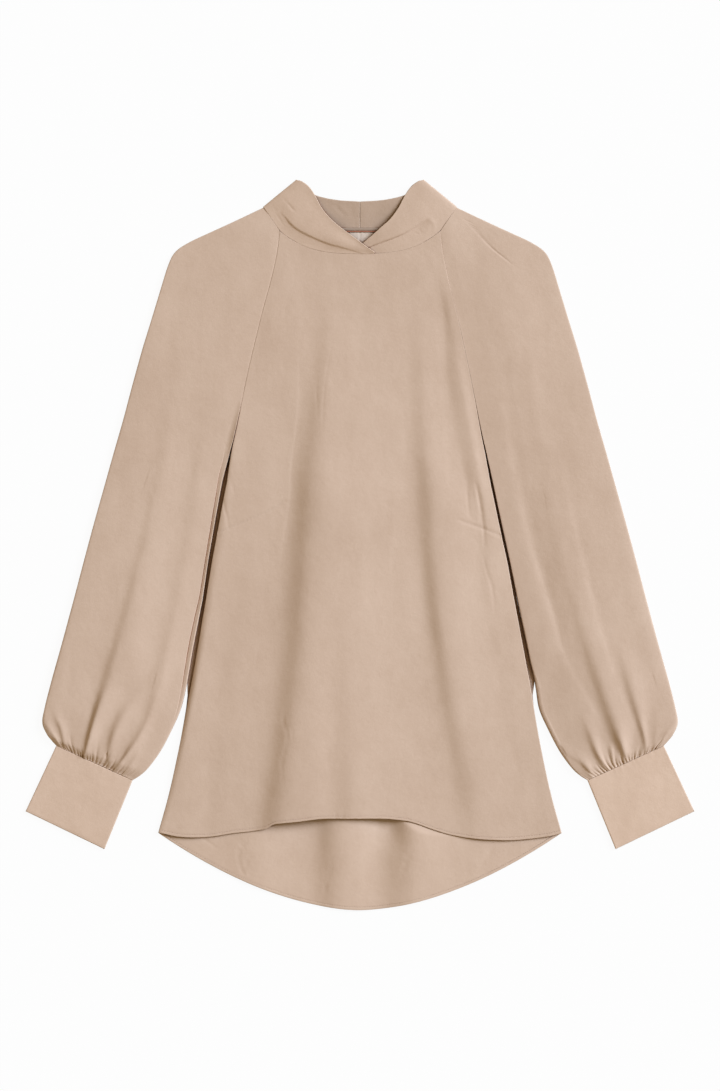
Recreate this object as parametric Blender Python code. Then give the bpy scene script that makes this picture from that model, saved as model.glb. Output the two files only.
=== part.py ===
"""High-neck blouse laid flat, front up.

The blouse lies on its back: +X is across the chest, +Y points from the hem to the collar and +Z comes up
out of the front. The origin is at the middle of its outline, on the surface that it lies on. Sizes in the
tables are millimetres, and the meshes are made in metres. The two halves have the same cut, so the tables
give one half, with X counted outwards from the middle.
"""

import math
from collections import namedtuple

import bmesh
import bpy
from mathutils import Vector

MM = 0.001

# Cloth
CLOTH = 1.2  # one layer with the loft of its nap
COLLAR_CLOTH = 2.0  # doubled cloth with its interfacing
CUFF_CLOTH = 1.6  # doubled cloth
FACING_CLOTH = 1.0
SEAM = 0.35  # the gap between two pieces at a seam

# Heights of the front above the surface
EDGE_TOP = 2 * CLOTH + SEAM  # where the front lies down on the back at a side seam
LAID_TOP = 5.2  # the front over the body
SEAM_TOP = 5.0  # the raglan seam near the neck
HEM_TOP = 4.3  # the front hem
HEM_FALL_Y = (-240.0, -300.0)  # between these heights the front comes down to its hem
SIDE_ROUND = 9.0  # how far in from a side seam the front is still rising
LOWEST_TOP = EDGE_TOP + 0.1
CREVICE_Y = (110.0, 215.0)  # the raglan seam sinks between these heights, on the way to the underarm
UNDERARM_Y = 66.0
UNDERARM_BACK = 2.0  # how far the layer beneath stops short of the underarm, where the top one turns down

# Neck and hems
NECK_Y = 311.0  # the front neck seam at the middle
NECK_RISE = 24.0  # how much higher it is at the raglan seam
NECK_HALF = 85.6
BACK_NECK_Y = 339.2
HEM_HALF = 216.0
HEM_SIDE_Y = -308.4
FRONT_HEM_Y = -292.0
FRONT_HEM_DIP = 22.0  # how much lower the front hem is between DIP_ENDS and LIFT_STARTS
DIP_STARTS, DIP_ENDS, LIFT_STARTS = 0.12, 0.67, 0.72  # shares of the way out to the side seam
BACK_HEM_Y = -390.9
TAIL_POWER = 1.78  # the tail's curve from the middle out to the side seam
SHOULDER = (103.7, 361.0)  # where the shoulder meets the collar

# Half the body's width: down the raglan seam to the underarm, then down the side seam
Edge = namedtuple("Edge", "y half")
BODY_EDGE = (
    Edge(335.0, 85.6),
    Edge(308.0, 89.3),
    Edge(281.0, 95.5),
    Edge(254.0, 103.0),
    Edge(222.0, 111.0),
    Edge(190.0, 118.6),
    Edge(160.0, 125.0),
    Edge(131.0, 131.5),
    Edge(98.0, 139.5),
    Edge(66.0, 146.0),
    Edge(35.0, 151.8),
    Edge(5.0, 157.0),
    Edge(-27.0, 162.6),
    Edge(-58.0, 168.0),
    Edge(-86.0, 173.0),
    Edge(-113.0, 177.5),
    Edge(-150.0, 182.5),
    Edge(-190.0, 188.8),
    Edge(-230.0, 196.4),
    Edge(-270.0, 205.4),
    Edge(HEM_SIDE_Y, HEM_HALF),
)

# Sleeve: one row for each section across the arm, from its inner edge to its outer edge. Rows with no
# inner place follow the body's edge, row by row. fold is the radius at the edges, and crown the extra height.
Section = namedtuple("Section", "outer_x outer_y fold crown inner_x inner_y", defaults=(None, None))
SLEEVE = (
    Section(*SHOULDER, 2.2, 0.4),
    Section(135.0, 346.3, 2.2, 0.8),
    Section(162.0, 333.9, 2.2, 0.9),
    Section(183.0, 324.0, 2.2, 1.0),
    Section(197.5, 314.0, 2.2, 1.0),
    Section(205.2, 300.0, 2.3, 1.1),
    Section(213.8, 272.6, 2.4, 1.2),
    Section(223.5, 240.6, 2.6, 1.5),
    Section(233.3, 208.7, 2.8, 1.8),
    Section(244.0, 170.0, 3.0, 2.2),
    Section(253.6, 133.8, 3.2, 2.6),
    Section(263.0, 101.0, 3.4, 3.0),
    Section(271.8, 69.6, 3.6, 3.6),
    Section(284.0, 26.0, 3.9, 4.4),
    Section(295.3, -16.0, 4.3, 5.2),
    Section(305.0, -53.0, 4.7, 6.0),
    Section(319.0, -105.0, 5.1, 6.6),
    Section(330.0, -144.5, 5.4, 7.0, 191.5, -175.0),
    Section(337.5, -174.0, 5.4, 6.6, 200.5, -196.0),
    Section(340.0, -190.0, 5.0, 5.2, 213.0, -220.0),
    Section(335.5, -202.0, 4.2, 3.4, 226.0, -238.0),
    Section(330.0, -209.5, 3.2, 1.6, 235.0, -246.5),
    Section(325.2, -214.8, 2.5, 0.2, 243.5, -251.9),
)
GATHERS = 21  # on the front of each cuff seam
GATHER_HEIGHT = (0.0, 0.7, 1.2, 1.5, 1.0)  # half a wave, over the last sections, the last at the seam
TOP_STEPS = GATHERS  # steps over the top of an ungathered section
BOTTOM_STEPS = 6
FOLD_STEPS = 4
RETURN = 3.0  # how far the underarm seam lies in from the inner fold

# Cuff corners: the seam side and the open side, outer edge first
CUFF_SEAM = ((325.2, -214.8), (243.5, -251.9))
CUFF_END = ((358.0, -285.0), (273.6, -325.6))
CUFF_HEIGHT = 5.0
CUFF_ROWS = 3
CUFF_STEPS = 6  # along a layer, between the two folds

# Folds of the front and sleeves, with the two bust darts last: half the fold's width, its height and
# its path in plan. The two halves aren't folded alike, so X counts to the right here.
Fold = namedtuple("Fold", "width height path")
FOLDS = (
    Fold(9.0, -2.0, ((-43, 193), (-63, 90), (-68, -100), (-80, -219), (-94, -301))),
    Fold(9.0, 3.2, ((-28, 193), (-47, 90), (-52, -100), (-64, -219), (-77, -301))),
    Fold(9.0, -2.0, ((61, 209), (66, 96), (77, -32), (88, -140), (112, -284))),
    Fold(9.0, 2.6, ((48, 190), (52, 96), (62, -32), (73, -140), (97, -284))),
    Fold(8.0, -1.6, ((93, 257), (107, 160), (118, 64), (128, 5))),
    Fold(9.0, 1.6, ((79, 245), (91, 160), (101, 64))),
    Fold(10.0, -1.2, ((-12, -166), (-8, -296))),
    Fold(10.0, 1.4, ((-34, -166), (-30, -296))),
    Fold(11.0, 1.6, ((123, -50), (140, -200), (156, -310))),
    Fold(11.0, 1.4, ((-128, -60), (-140, -200), (-150, -308))),
    Fold(10.0, -4.0, ((-294, -223), (-275, -160), (-246, -21), (-214, 91))),
    Fold(9.0, 2.2, ((-308, -205), (-292, -150), (-264, -12), (-232, 91))),
    Fold(7.0, -3.0, ((-231, -208), (-217, -160), (-204, -110))),
    Fold(7.0, -2.0, ((-317, -213), (-322, -180), (-312, -140))),
    Fold(7.0, -2.6, ((261, -236), (250, -222), (240, -185))),
    Fold(9.0, -3.6, ((285, -230), (266, -193), (257, -160), (228, -95))),
    Fold(7.0, -2.6, ((307, -222), (300, -198), (288, -155))),
    Fold(9.0, 2.0, ((141, 176), (155, 128), (182, 11), (209, -75))),
    Fold(10.0, 2.4, ((219, 75), (235, 11), (252, -64), (273, -128))),
    Fold(5.0, -1.0, ((-78, 48), (-152, 12))),
    Fold(5.0, -1.0, ((90, 38), (152, 12))),
)
FOLD_FADE = 45.0  # over which a fold dies away at each end
EDGE_FADE = 16.0  # over which it dies away beside a seam
FOLD_LEAST = 0.15  # the share of its height that a fold keeps at its ends
FOLD_REACH = 3.0  # in half-widths, past which a fold adds nothing

# Grids of the body's panels
FRONT_STEPS = 40
BACK_STEPS = 22
TAIL_RIDGES = ((-62.0, 2.4), (8.0, 2.0), (74.0, 2.4))  # where the tail lifts off the surface, and how far
TAIL_RIDGE_WIDTH = 17.0
TAIL_Y = -302.0  # the back lies flat above here

# Collar: rungs from the neck seam to the top edge, from the centre back round to the front
Rung = namedtuple("Rung", "seam_x seam_y seam_z top_x top_y top_z crease")
COLLAR_BACK = (
    Rung(0.2, 339.7, 1.05, 0.2, 367.2, 4.4, 0.0),
    Rung(30.0, 339.2, 1.05, 25.0, 369.0, 4.4, 0.0),
    Rung(58.0, 337.7, 1.05, 46.0, 373.6, 4.4, 0.0),
    Rung(78.0, 336.1, 1.05, 56.0, 380.0, 4.4, 0.0),
    Rung(90.0, 341.8, 1.10, 61.5, 385.6, 4.4, 0.0),
    Rung(98.6, 354.3, 1.20, 64.8, 388.4, 4.6, 0.0),
    Rung(102.4, 359.8, 1.80, 66.6, 389.7, 5.2, 0.0),
    Rung(103.4, 361.2, 3.00, 67.2, 390.1, 6.8, 0.0),
    Rung(102.4, 359.8, 4.30, 66.4, 389.8, 8.6, 0.0),
    Rung(97.0, 351.9, 4.70, 62.0, 388.6, 10.0, 0.3),
    Rung(85.5, 335.5, 4.80, 54.5, 383.0, 12.5, 1.0),
    Rung(72.0, 325.7, 4.80, 47.5, 373.0, 15.0, 1.0),
    Rung(59.0, 319.2, 4.80, 40.5, 360.0, 16.5, 1.0),
)
COLLAR_OVER = (
    Rung(45.0, 314.9, 5.0, 31.0, 348.5, 16.0, 1.0),
    Rung(30.0, 312.5, 5.6, 20.0, 339.0, 14.0, 1.0),
    Rung(12.0, 311.5, 6.3, 7.0, 329.5, 11.5, 0.8),
    Rung(-3.0, 311.4, 6.4, -5.0, 320.6, 8.8, 0.0),
    Rung(-15.0, 311.4, 6.6, -15.8, 313.4, 7.0, 0.0),
)
COLLAR_UNDER = (
    Rung(45.0, 314.9, 4.8, 32.0, 348.5, 15.0, 1.0),
    Rung(30.0, 312.5, 4.5, 22.0, 339.5, 12.0, 1.0),
    Rung(12.0, 311.6, 4.0, 9.5, 328.4, 7.6, 0.3),
    Rung(-2.0, 311.5, 3.8, -1.0, 320.0, 5.0, 0.0),
    Rung(-11.0, 311.5, 3.8, -10.0, 313.6, 3.8, 0.0),
)
COLLAR_ACROSS = (0.0, 0.15, 0.29, 0.35, 0.5, 0.68, 0.85, 1.0)  # places of the points across a rung
CREASE_STEP = 4.0  # how far the cloth above the crease stands over the band below it
CREASE_PLACE = (0.29, 0.35)

# Facing inside the back neck
FACING_HALF = 34.0
FACING_DEEP = 20.0
FACING_END = 3.0  # its depth at the two ends
FACING_STEPS = 10

SHARP_ANGLE = math.radians(50.0)
CREPE = (0.60, 0.44, 0.34)
PALE = (0.80, 0.76, 0.71)


def clear_scene():
    for thing in list(bpy.data.objects):
        bpy.data.objects.remove(thing, do_unlink=True)


def cloth_material(name, colour, roughness=0.88):
    made = bpy.data.materials.new(name)
    made.use_nodes = True
    shader = made.node_tree.nodes["Principled BSDF"]
    shader.inputs["Base Color"].default_value = (*colour, 1.0)
    shader.inputs["Roughness"].default_value = roughness
    shader.inputs["Metallic"].default_value = 0.0
    return made


def lerp(a, b, t):
    return a + (b - a) * t


def ease(t):
    """0 before 0, 1 after 1 and a smooth step between."""
    t = min(1.0, max(0.0, t))
    return t * t * (3.0 - 2.0 * t)


def front_neck(x):
    return NECK_Y + NECK_RISE * abs(x / NECK_HALF) ** 3


def back_neck(x):
    return BACK_NECK_Y - (BACK_NECK_Y - BODY_EDGE[0].y) * (x / NECK_HALF) ** 2


def front_hem(x):
    """Highest in the middle, lowest near three quarters of the way out, and a little up at the side seam."""
    out = abs(x) / HEM_HALF
    low = FRONT_HEM_Y - FRONT_HEM_DIP
    dipped = lerp(FRONT_HEM_Y, low, ease((out - DIP_STARTS) / (DIP_ENDS - DIP_STARTS)))
    return dipped + (HEM_SIDE_Y - low) * ease((out - LIFT_STARTS) / (1.0 - LIFT_STARTS))


def back_hem(x):
    return BACK_HEM_Y + (HEM_SIDE_Y - BACK_HEM_Y) * (abs(x) / HEM_HALF) ** TAIL_POWER


def from_path(path, x, y):
    """How far a point is from a path in plan, and how far along the path it is, in millimetres."""
    best, along_best, passed = math.inf, 0.0, 0.0
    here = Vector((x, y))
    for a, b in zip(path, path[1:]):
        a, b = Vector(a), Vector(b)
        step = b - a
        t = min(1.0, max(0.0, (here - a).dot(step) / step.length_squared))
        far = (here - a - step * t).length
        if far < best:
            best, along_best = far, passed + t * step.length
        passed += step.length
    return best, along_best, passed


def relief(x, y):
    """The height that the folds add at a point of the front or a sleeve."""
    total = 0.0
    for fold in FOLDS:
        far, along, long = from_path(fold.path, x, y)
        if far > FOLD_REACH * fold.width:
            continue
        fade = ease(along / FOLD_FADE) * ease((long - along) / FOLD_FADE)
        total += fold.height * max(fade, FOLD_LEAST) * math.exp(-((far / fold.width) ** 2))
    return total


def seam_top(y):
    """The height of the raglan seam, and of the crevice that it sinks into beside the underarm."""
    return lerp(EDGE_TOP, SEAM_TOP, ease((y - CREVICE_Y[0]) / (CREVICE_Y[1] - CREVICE_Y[0])))


def front_top(x, y, inward, edge_y):
    """The height of the front: inward is how far the point is from the nearest side edge."""
    edge = seam_top(edge_y)
    level = lerp(LAID_TOP, HEM_TOP, ease((HEM_FALL_Y[0] - y) / (HEM_FALL_Y[0] - HEM_FALL_Y[1])))
    rise = 1.0 - math.exp(-((inward / SIDE_ROUND) ** 2))
    inside = ease(inward / EDGE_FADE) * ease((front_neck(x) - y) / EDGE_FADE)
    return max(LOWEST_TOP if inward > 0.1 else edge, lerp(edge, level, rise) + inside * relief(x, y))


def panel_rows(steps, top, bottom):
    """Plan points of a body panel, row by row from the neck to the hem, left to right."""
    first, last = BODY_EDGE[0], BODY_EDGE[-1]
    rows = []
    for edge in BODY_EDGE:
        down = (first.y - edge.y) / (first.y - last.y)
        row = []
        for i in range(steps + 1):
            side = 2.0 * i / steps - 1.0
            high = top(side * first.half)
            low = bottom(side * last.half)
            row.append((side * edge.half, lerp(high, low, down)))
        rows.append(row)
    return rows


def faces_between(upper, lower):
    """Faces between two rows of (place, index). The lower row may have one more point inside a step."""
    made = []
    for (a, first), (b, second) in zip(upper, upper[1:]):
        inside = [index for place, index in lower if a < place < b]
        left = next(index for place, index in lower if place == a)
        right = next(index for place, index in lower if place == b)
        if inside:
            made += [(first, left, inside[0]), (first, inside[0], second), (second, inside[0], right)]
        else:
            made.append((first, left, right, second))
    return made


def wall(name, outer, inner, ring, material):
    """One closed body between two surfaces. Each is rows of (place, point) with the same points in both.

    ring says that the last place of a row joins its first, as in a tube.
    """
    mesh = bmesh.new()
    sides = []
    for surface in (outer, inner):
        rows, placed = [], []
        for row in surface:
            verts = [(place, mesh.verts.new(Vector(point) * MM)) for place, point in row]
            placed.append(verts)
            rows.append(verts + [(row[-1][0] + 1, verts[0][1])] if ring else verts)
        for upper, lower in zip(rows, rows[1:]):
            for face in faces_between(upper, lower):
                mesh.faces.new(face)
        sides.append(rows)
    borders = [(sides[0][k], sides[1][k]) for k in (0, -1)]
    if not ring:
        borders += [([row[k] for row in sides[0]], [row[k] for row in sides[1]]) for k in (0, -1)]
    for one, other in borders:
        for k in range(len(one) - 1):
            mesh.faces.new((one[k][1], one[k + 1][1], other[k + 1][1], other[k][1]))
    bmesh.ops.triangulate(mesh, faces=mesh.faces[:], quad_method="SHORT_EDGE")
    bmesh.ops.recalc_face_normals(mesh, faces=mesh.faces[:])
    data = bpy.data.meshes.new(name)
    mesh.to_mesh(data)
    mesh.free()
    data.shade_smooth()
    data.set_sharp_from_angle(angle=SHARP_ANGLE)
    data.materials.append(material)
    made = bpy.data.objects.new(name, data)
    bpy.context.collection.objects.link(made)
    return made


def numbered(points):
    return list(enumerate(points))


def make_front(material):
    outer, inner = [], []
    for edge, row in zip(BODY_EDGE, panel_rows(FRONT_STEPS, front_neck, front_hem)):
        tops = [(x, y, front_top(x, y, edge.half - abs(x), edge.y)) for x, y in row]
        outer.append(numbered(tops))
        inner.append(numbered([(x, y, z - CLOTH) for x, y, z in tops]))
    return wall("front_panel", outer, inner, False, material)


def tail_lift(x, y):
    """The tail's soft ridges, which rise towards the hem below where the back lies flat."""
    down = ease((TAIL_Y - y) / (TAIL_Y - BACK_HEM_Y))
    return down * sum(h * math.exp(-(((x - at) / TAIL_RIDGE_WIDTH) ** 2)) for at, h in TAIL_RIDGES)


def make_back(material):
    outer, inner = [], []
    for row in panel_rows(BACK_STEPS, back_neck, back_hem):
        lifted = [(x, y, tail_lift(x, y)) for x, y in row]
        outer.append(numbered([(x, y, z + CLOTH) for x, y, z in lifted]))
        inner.append(numbered(lifted))
    return wall("back_panel", outer, inner, False, material)


def sleeve_section(index, inset, side):
    """(place, point) across one section of a sleeve, from the back of the underarm or raglan seam,
    under the arm, round the outer fold and over the top to the front of that seam."""
    row = SLEEVE[index]
    follows = row.inner_x is None
    edge = BODY_EDGE[min(index, len(BODY_EDGE) - 1)]
    inner = Vector((edge.half + SEAM, edge.y)) if follows else Vector((row.inner_x, row.inner_y))
    across = Vector((row.outer_x, row.outer_y)) - inner
    width = across.length
    across.normalize()
    closed = 0.5 * ((not follows or edge.y <= UNDERARM_Y) + (not follows or edge.y < UNDERARM_Y))
    near, far = row.fold, width - row.fold
    seam_z = lerp(seam_top(edge.y), 2.0 * row.fold, math.sqrt(closed))
    waves = len(SLEEVE) - len(GATHER_HEIGHT)
    wave = GATHER_HEIGHT[index - waves] if index >= waves else 0.0
    radius = row.fold - inset

    def at(distance, z):
        plan = inner + across * distance
        return (side * plan.x, plan.y, z)

    made = []
    start = {0.0: 0.0, 0.5: UNDERARM_BACK, 1.0: near + RETURN + SEAM}[closed]
    for i in range(BOTTOM_STEPS):
        made.append((len(made), at(lerp(start, far, i / BOTTOM_STEPS), inset)))
    for i in range(FOLD_STEPS):
        turn = math.pi * (i / FOLD_STEPS - 0.5)
        made.append((len(made), at(far + radius * math.cos(turn), row.fold + radius * math.sin(turn))))
    first = len(made)
    halves = 2 if index >= waves else 1
    for i in range(TOP_STEPS * halves + 1):
        u = 1.0 - i / (TOP_STEPS * halves)
        plan = inner + across * lerp(near, far, u)
        z = lerp(seam_z, 2.0 * row.fold, u) + row.crown * math.sin(math.pi * u)
        z += math.sqrt(math.sin(math.pi * u)) * relief(side * plan.x, plan.y) if 0.0 < u < 1.0 else 0.0
        if 0.0 < u < 1.0:
            z += wave * (1.0 if i % 2 else -1.0)
            z = max(z, LOWEST_TOP)
        made.append((first + i / halves, at(lerp(near, far, u), z - inset)))
    last = first + TOP_STEPS
    for i in range(1, FOLD_STEPS + 1):
        turn = math.pi * (0.5 - closed * i / FOLD_STEPS)
        distance = near - radius * math.cos(turn) if closed else lerp(near, 0.0, i / (FOLD_STEPS + 1))
        made.append((last + i, at(distance, seam_z - row.fold + radius * math.sin(turn))))
    end = {
        0.0: (0.0, seam_z - inset),
        0.5: (inset, CLOTH + SEAM),
        1.0: (near + RETURN, inset),
    }[closed]
    made.append((last + FOLD_STEPS + 1, at(*end)))
    return made


def make_sleeve(name, side, material):
    outer = [sleeve_section(i, 0.0, side) for i in range(len(SLEEVE))]
    inner = [sleeve_section(i, CLOTH, side) for i in range(len(SLEEVE))]
    return wall(name, outer, inner, False, material)


def cuff_ring(outer_corner, inner_corner, inset, side):
    across = Vector(outer_corner) - Vector(inner_corner)
    width = across.length
    across.normalize()
    fold = CUFF_HEIGHT / 2.0
    radius = fold - inset
    made = []
    for centre, start in ((width - fold, -0.5), (fold, 0.5)):
        for i in range(FOLD_STEPS + 1):
            turn = math.pi * (start + i / FOLD_STEPS)
            made.append((centre + radius * math.cos(turn), fold + radius * math.sin(turn)))
        a, b = (width - fold, fold) if start < 0 else (fold, width - fold)
        z = 2.0 * fold - inset if start < 0 else inset
        made += [(lerp(a, b, i / CUFF_STEPS), z) for i in range(1, CUFF_STEPS)]
    points = []
    for distance, z in made:
        plan = Vector(inner_corner) + across * distance
        points.append((side * plan.x, plan.y, z))
    return numbered(points)


def make_cuff(name, side, material):
    rows = {0.0: [], CUFF_CLOTH: []}
    down = (Vector(CUFF_END[0]) - Vector(CUFF_SEAM[0])).normalized() * SEAM
    for i in range(CUFF_ROWS):
        t = i / (CUFF_ROWS - 1)
        corners = [Vector(a).lerp(Vector(b), t) + down * (1.0 - t) for a, b in zip(CUFF_SEAM, CUFF_END)]
        for inset, made in rows.items():
            made.append(cuff_ring(*corners, inset, side))
    return wall(name, rows[0.0], rows[CUFF_CLOTH], True, material)


def collar_point(rung, w, side):
    """A point of the collar's middle layer, w of the way from the neck seam to the top edge."""
    low, high = CREASE_PLACE
    step = ease((w - low) / (high - low)) - w
    z = lerp(rung.seam_z, rung.top_z, w) + CREASE_STEP * rung.crease * step
    return Vector((side * lerp(rung.seam_x, rung.top_x, w), lerp(rung.seam_y, rung.top_y, w), z))


def make_collar(name, side, front_rungs, material):
    grid = [[collar_point(rung, w, side) for w in COLLAR_ACROSS] for rung in COLLAR_BACK + front_rungs]
    outer, inner = [], []
    for i, row in enumerate(grid):
        before, after = grid[max(i - 1, 0)], grid[min(i + 1, len(grid) - 1)]
        one, other = [], []
        for k, point in enumerate(row):
            along = after[k] - before[k]
            across = row[min(k + 1, len(row) - 1)] - row[max(k - 1, 0)]
            out = along.cross(across).normalized() * (COLLAR_CLOTH / 2.0)
            one.append(point + out)
            other.append(point - out)
        outer.append(numbered(one))
        inner.append(numbered(other))
    return wall(name, outer, inner, False, material)


def make_facing(material):
    """A shallow half-moon on the back panel, just below the back neck seam."""
    low = CLOTH + SEAM
    rows = []
    for down in (0.0, 0.5, 1.0):
        row = []
        for i in range(FACING_STEPS + 1):
            x = FACING_HALF * (2.0 * i / FACING_STEPS - 1.0)
            deep = FACING_END + (FACING_DEEP - FACING_END) * math.sqrt(max(0.0, 1.0 - (x / FACING_HALF) ** 2))
            row.append((x, back_neck(x) - SEAM - deep * down))
        rows.append(row)
    outer = [numbered([(x, y, low + FACING_CLOTH) for x, y in row]) for row in rows]
    inner = [numbered([(x, y, low) for x, y in row]) for row in rows]
    return wall("neck_facing", outer, inner, False, material)


def main():
    clear_scene()
    make_front(cloth_material("front crepe", CREPE))
    make_back(cloth_material("back crepe", CREPE))
    for name, side in (("left", -1.0), ("right", 1.0)):
        make_sleeve("sleeve_" + name, side, cloth_material(name + " sleeve crepe", CREPE))
        make_cuff("cuff_" + name, side, cloth_material(name + " cuff crepe", CREPE))
    make_collar("collar_left", -1.0, COLLAR_OVER, cloth_material("left collar crepe", CREPE))
    make_collar("collar_right", 1.0, COLLAR_UNDER, cloth_material("right collar crepe", CREPE))
    make_facing(cloth_material("facing", PALE, 0.8))


main()
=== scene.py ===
"""Looks of the high-neck blouse laid flat: thin cloth shells on the forms of the CAD solids.

Tables are in millimetres in the CAD frame: +X to the photo's right, +Y from hem to collar, +Z up.
Each shell is a grid of points made from the same tables as its solid, with the creases of the photo added.
A row of a crease or crevice that leaves out its last columns has those of the row above.
"""

import math

import bpy
import numpy as np
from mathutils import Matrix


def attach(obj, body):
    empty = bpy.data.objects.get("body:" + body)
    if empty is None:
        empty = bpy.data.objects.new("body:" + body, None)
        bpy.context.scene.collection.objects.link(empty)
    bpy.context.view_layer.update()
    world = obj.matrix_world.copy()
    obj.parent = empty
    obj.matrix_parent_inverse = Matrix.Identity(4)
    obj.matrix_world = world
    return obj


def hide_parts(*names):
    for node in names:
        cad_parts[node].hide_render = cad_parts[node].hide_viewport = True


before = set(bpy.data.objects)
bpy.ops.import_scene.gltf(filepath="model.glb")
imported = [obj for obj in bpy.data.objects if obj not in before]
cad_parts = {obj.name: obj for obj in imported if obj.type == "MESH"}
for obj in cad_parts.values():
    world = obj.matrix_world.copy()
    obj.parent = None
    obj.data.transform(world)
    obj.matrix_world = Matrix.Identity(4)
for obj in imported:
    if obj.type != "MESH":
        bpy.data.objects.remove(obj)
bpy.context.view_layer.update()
MM = 0.001

# Cloth walls of the shells, and the gap at a seam
CLOTH = 0.9
CUFF_CLOTH = 1.1
COLLAR_HALF = 0.8
FACING_CLOTH = 0.7
SEAM = 0.35
SHUT = 0.03  # the gap at a closed seam
NECK_SHUT = 0.58  # how far the front's neck edge goes up to the collar

# Outline of the body
NECK_Y, NECK_RISE, NECK_HALF = 311.0, 24.0, 85.6
BACK_NECK_Y, BACK_NECK_END_Y = 339.2, 335.0
HEM_HALF, HEM_SIDE_Y = 216.0, -308.4
BACK_HEM_Y, TAIL_POWER = -390.9, 1.78

# x and y along the front hem, from left to right
FRONT_HEM = (
    (-216, -307.6), (-195.8, -311.9), (-176.6, -313), (-157.3, -311.9), (-138, -308.7), (-118.8, -306.6),
    (-104.9, -304.4), (-98.4, -302.3), (-92, -298.5), (-80.2, -296.9), (-64.2, -295.3), (-41.7, -292.6),
    (-16.1, -292.4), (22.5, -292.4), (38.5, -293.5), (51.4, -295.3), (61, -298), (73.8, -302.8),
    (86.7, -307.1), (99.5, -310.5), (117.7, -313.5), (138, -315.3), (160.5, -315.9), (181.9, -314.4),
    (202.2, -311.7), (216, -308.4),
)

# y and half the width, down the raglan seam to the underarm and down the side seam
BODY_EDGE = (
    (335, 85.6), (308, 89.3), (281, 95.5), (254, 103), (222, 111), (190, 118.6), (160, 125), (131, 131.5),
    (98, 139.5), (66, 146), (35, 151.8), (5, 157), (-27, 162.6), (-58, 168), (-86, 173), (-113, 177.5),
    (-150, 182.5), (-190, 188.8), (-230, 196.4), (-270, 205.4), (HEM_SIDE_Y, HEM_HALF),
)

# Sections across the arm: outer x, outer y, radius of the folded edges, extra height of the middle, inner x
# and inner y. A section without the last two ends at the crevice, beside the same row of BODY_EDGE.
SLEEVE = (
    (103.2, 361.35, 2.2, 0.4, 85.2, 335.38), (135, 346.3, 2.2, 0.8), (162, 333.9, 2.2, 0.9),
    (183, 324, 2.2, 1), (197.5, 314, 2.2, 1), (205.2, 300, 2.3, 1.1), (213.8, 272.6, 2.4, 1.2),
    (223.5, 240.6, 2.6, 1.5), (233.3, 208.7, 2.8, 1.8), (244, 170, 3, 2.2), (253.6, 133.8, 3.2, 2.6),
    (263, 101, 3.4, 3), (271.8, 69.6, 3.6, 3.6), (284, 26, 3.9, 4.4), (295.3, -16, 4.3, 5.2),
    (305, -53, 4.7, 6), (319, -105, 5.1, 6.6), (330, -144.5, 5.4, 7, 191.5, -175),
    (337.5, -174, 5.4, 6.6, 200.5, -196), (340, -190, 5, 5.2, 213, -220),
    (335.5, -202, 4.2, 3.4, 226, -238), (330, -209.5, 3.2, 1.6, 235, -246.5),
    (325.2, -214.8, 2.5, 0.2, 243.5, -251.9),
)
CUFF_SEAM = ((325.2, -214.8), (243.5, -251.9))
CUFF_END = ((358.0, -285.0), (273.6, -325.6))
CUFF_HEIGHT = 3.6

# Collar rungs from the centre back round to the front: seam x, y, z, then top edge x, y, z
COLLAR_BACK = (
    (0.02, 339.7, 1.05, 0.02, 367.2, 7), (30, 339.2, 1.05, 25, 369, 7), (58, 337.7, 1.05, 46, 373.6, 7),
    (78, 336.1, 1.05, 56, 380, 7), (90, 341.8, 1.1, 61.5, 385.6, 7), (98.6, 354.3, 1.2, 64.8, 388.4, 7.2),
    (102.4, 359.8, 1.8, 66.6, 389.7, 7.6), (103.4, 361.2, 3, 67.2, 390.1, 8.2),
    (102.4, 359.8, 4.3, 66.4, 389.8, 8.8), (97, 351.9, 4.8, 62, 388.6, 9.4),
    (85.5, 335.5, 5, 54.5, 383, 9.3), (72, 325.7, 5.4, 47.5, 373, 9.1), (59, 319.2, 5.7, 40.5, 360, 9),
)
COLLAR_OVER = (
    (45, 314.9, 5.75, 31, 348.5, 9), (30, 312.5, 5.8, 20, 339, 9), (12, 311.5, 5.85, 7, 329.5, 8.9),
    (-3, 311.4, 5.9, -5, 320.6, 8.4), (-15, 311.4, 6.1, -15.8, 313.4, 7),
)
COLLAR_UNDER = (
    (45, 314.9, 5.7, 32, 348.5, 9), (30, 312.5, 5.5, 22, 339.5, 8.6), (12, 311.6, 4.6, 9.5, 328.4, 6.8),
    (-2, 311.5, 4, -1, 320, 5), (-11, 311.5, 3.8, -10, 313.6, 3.8),
)

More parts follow.
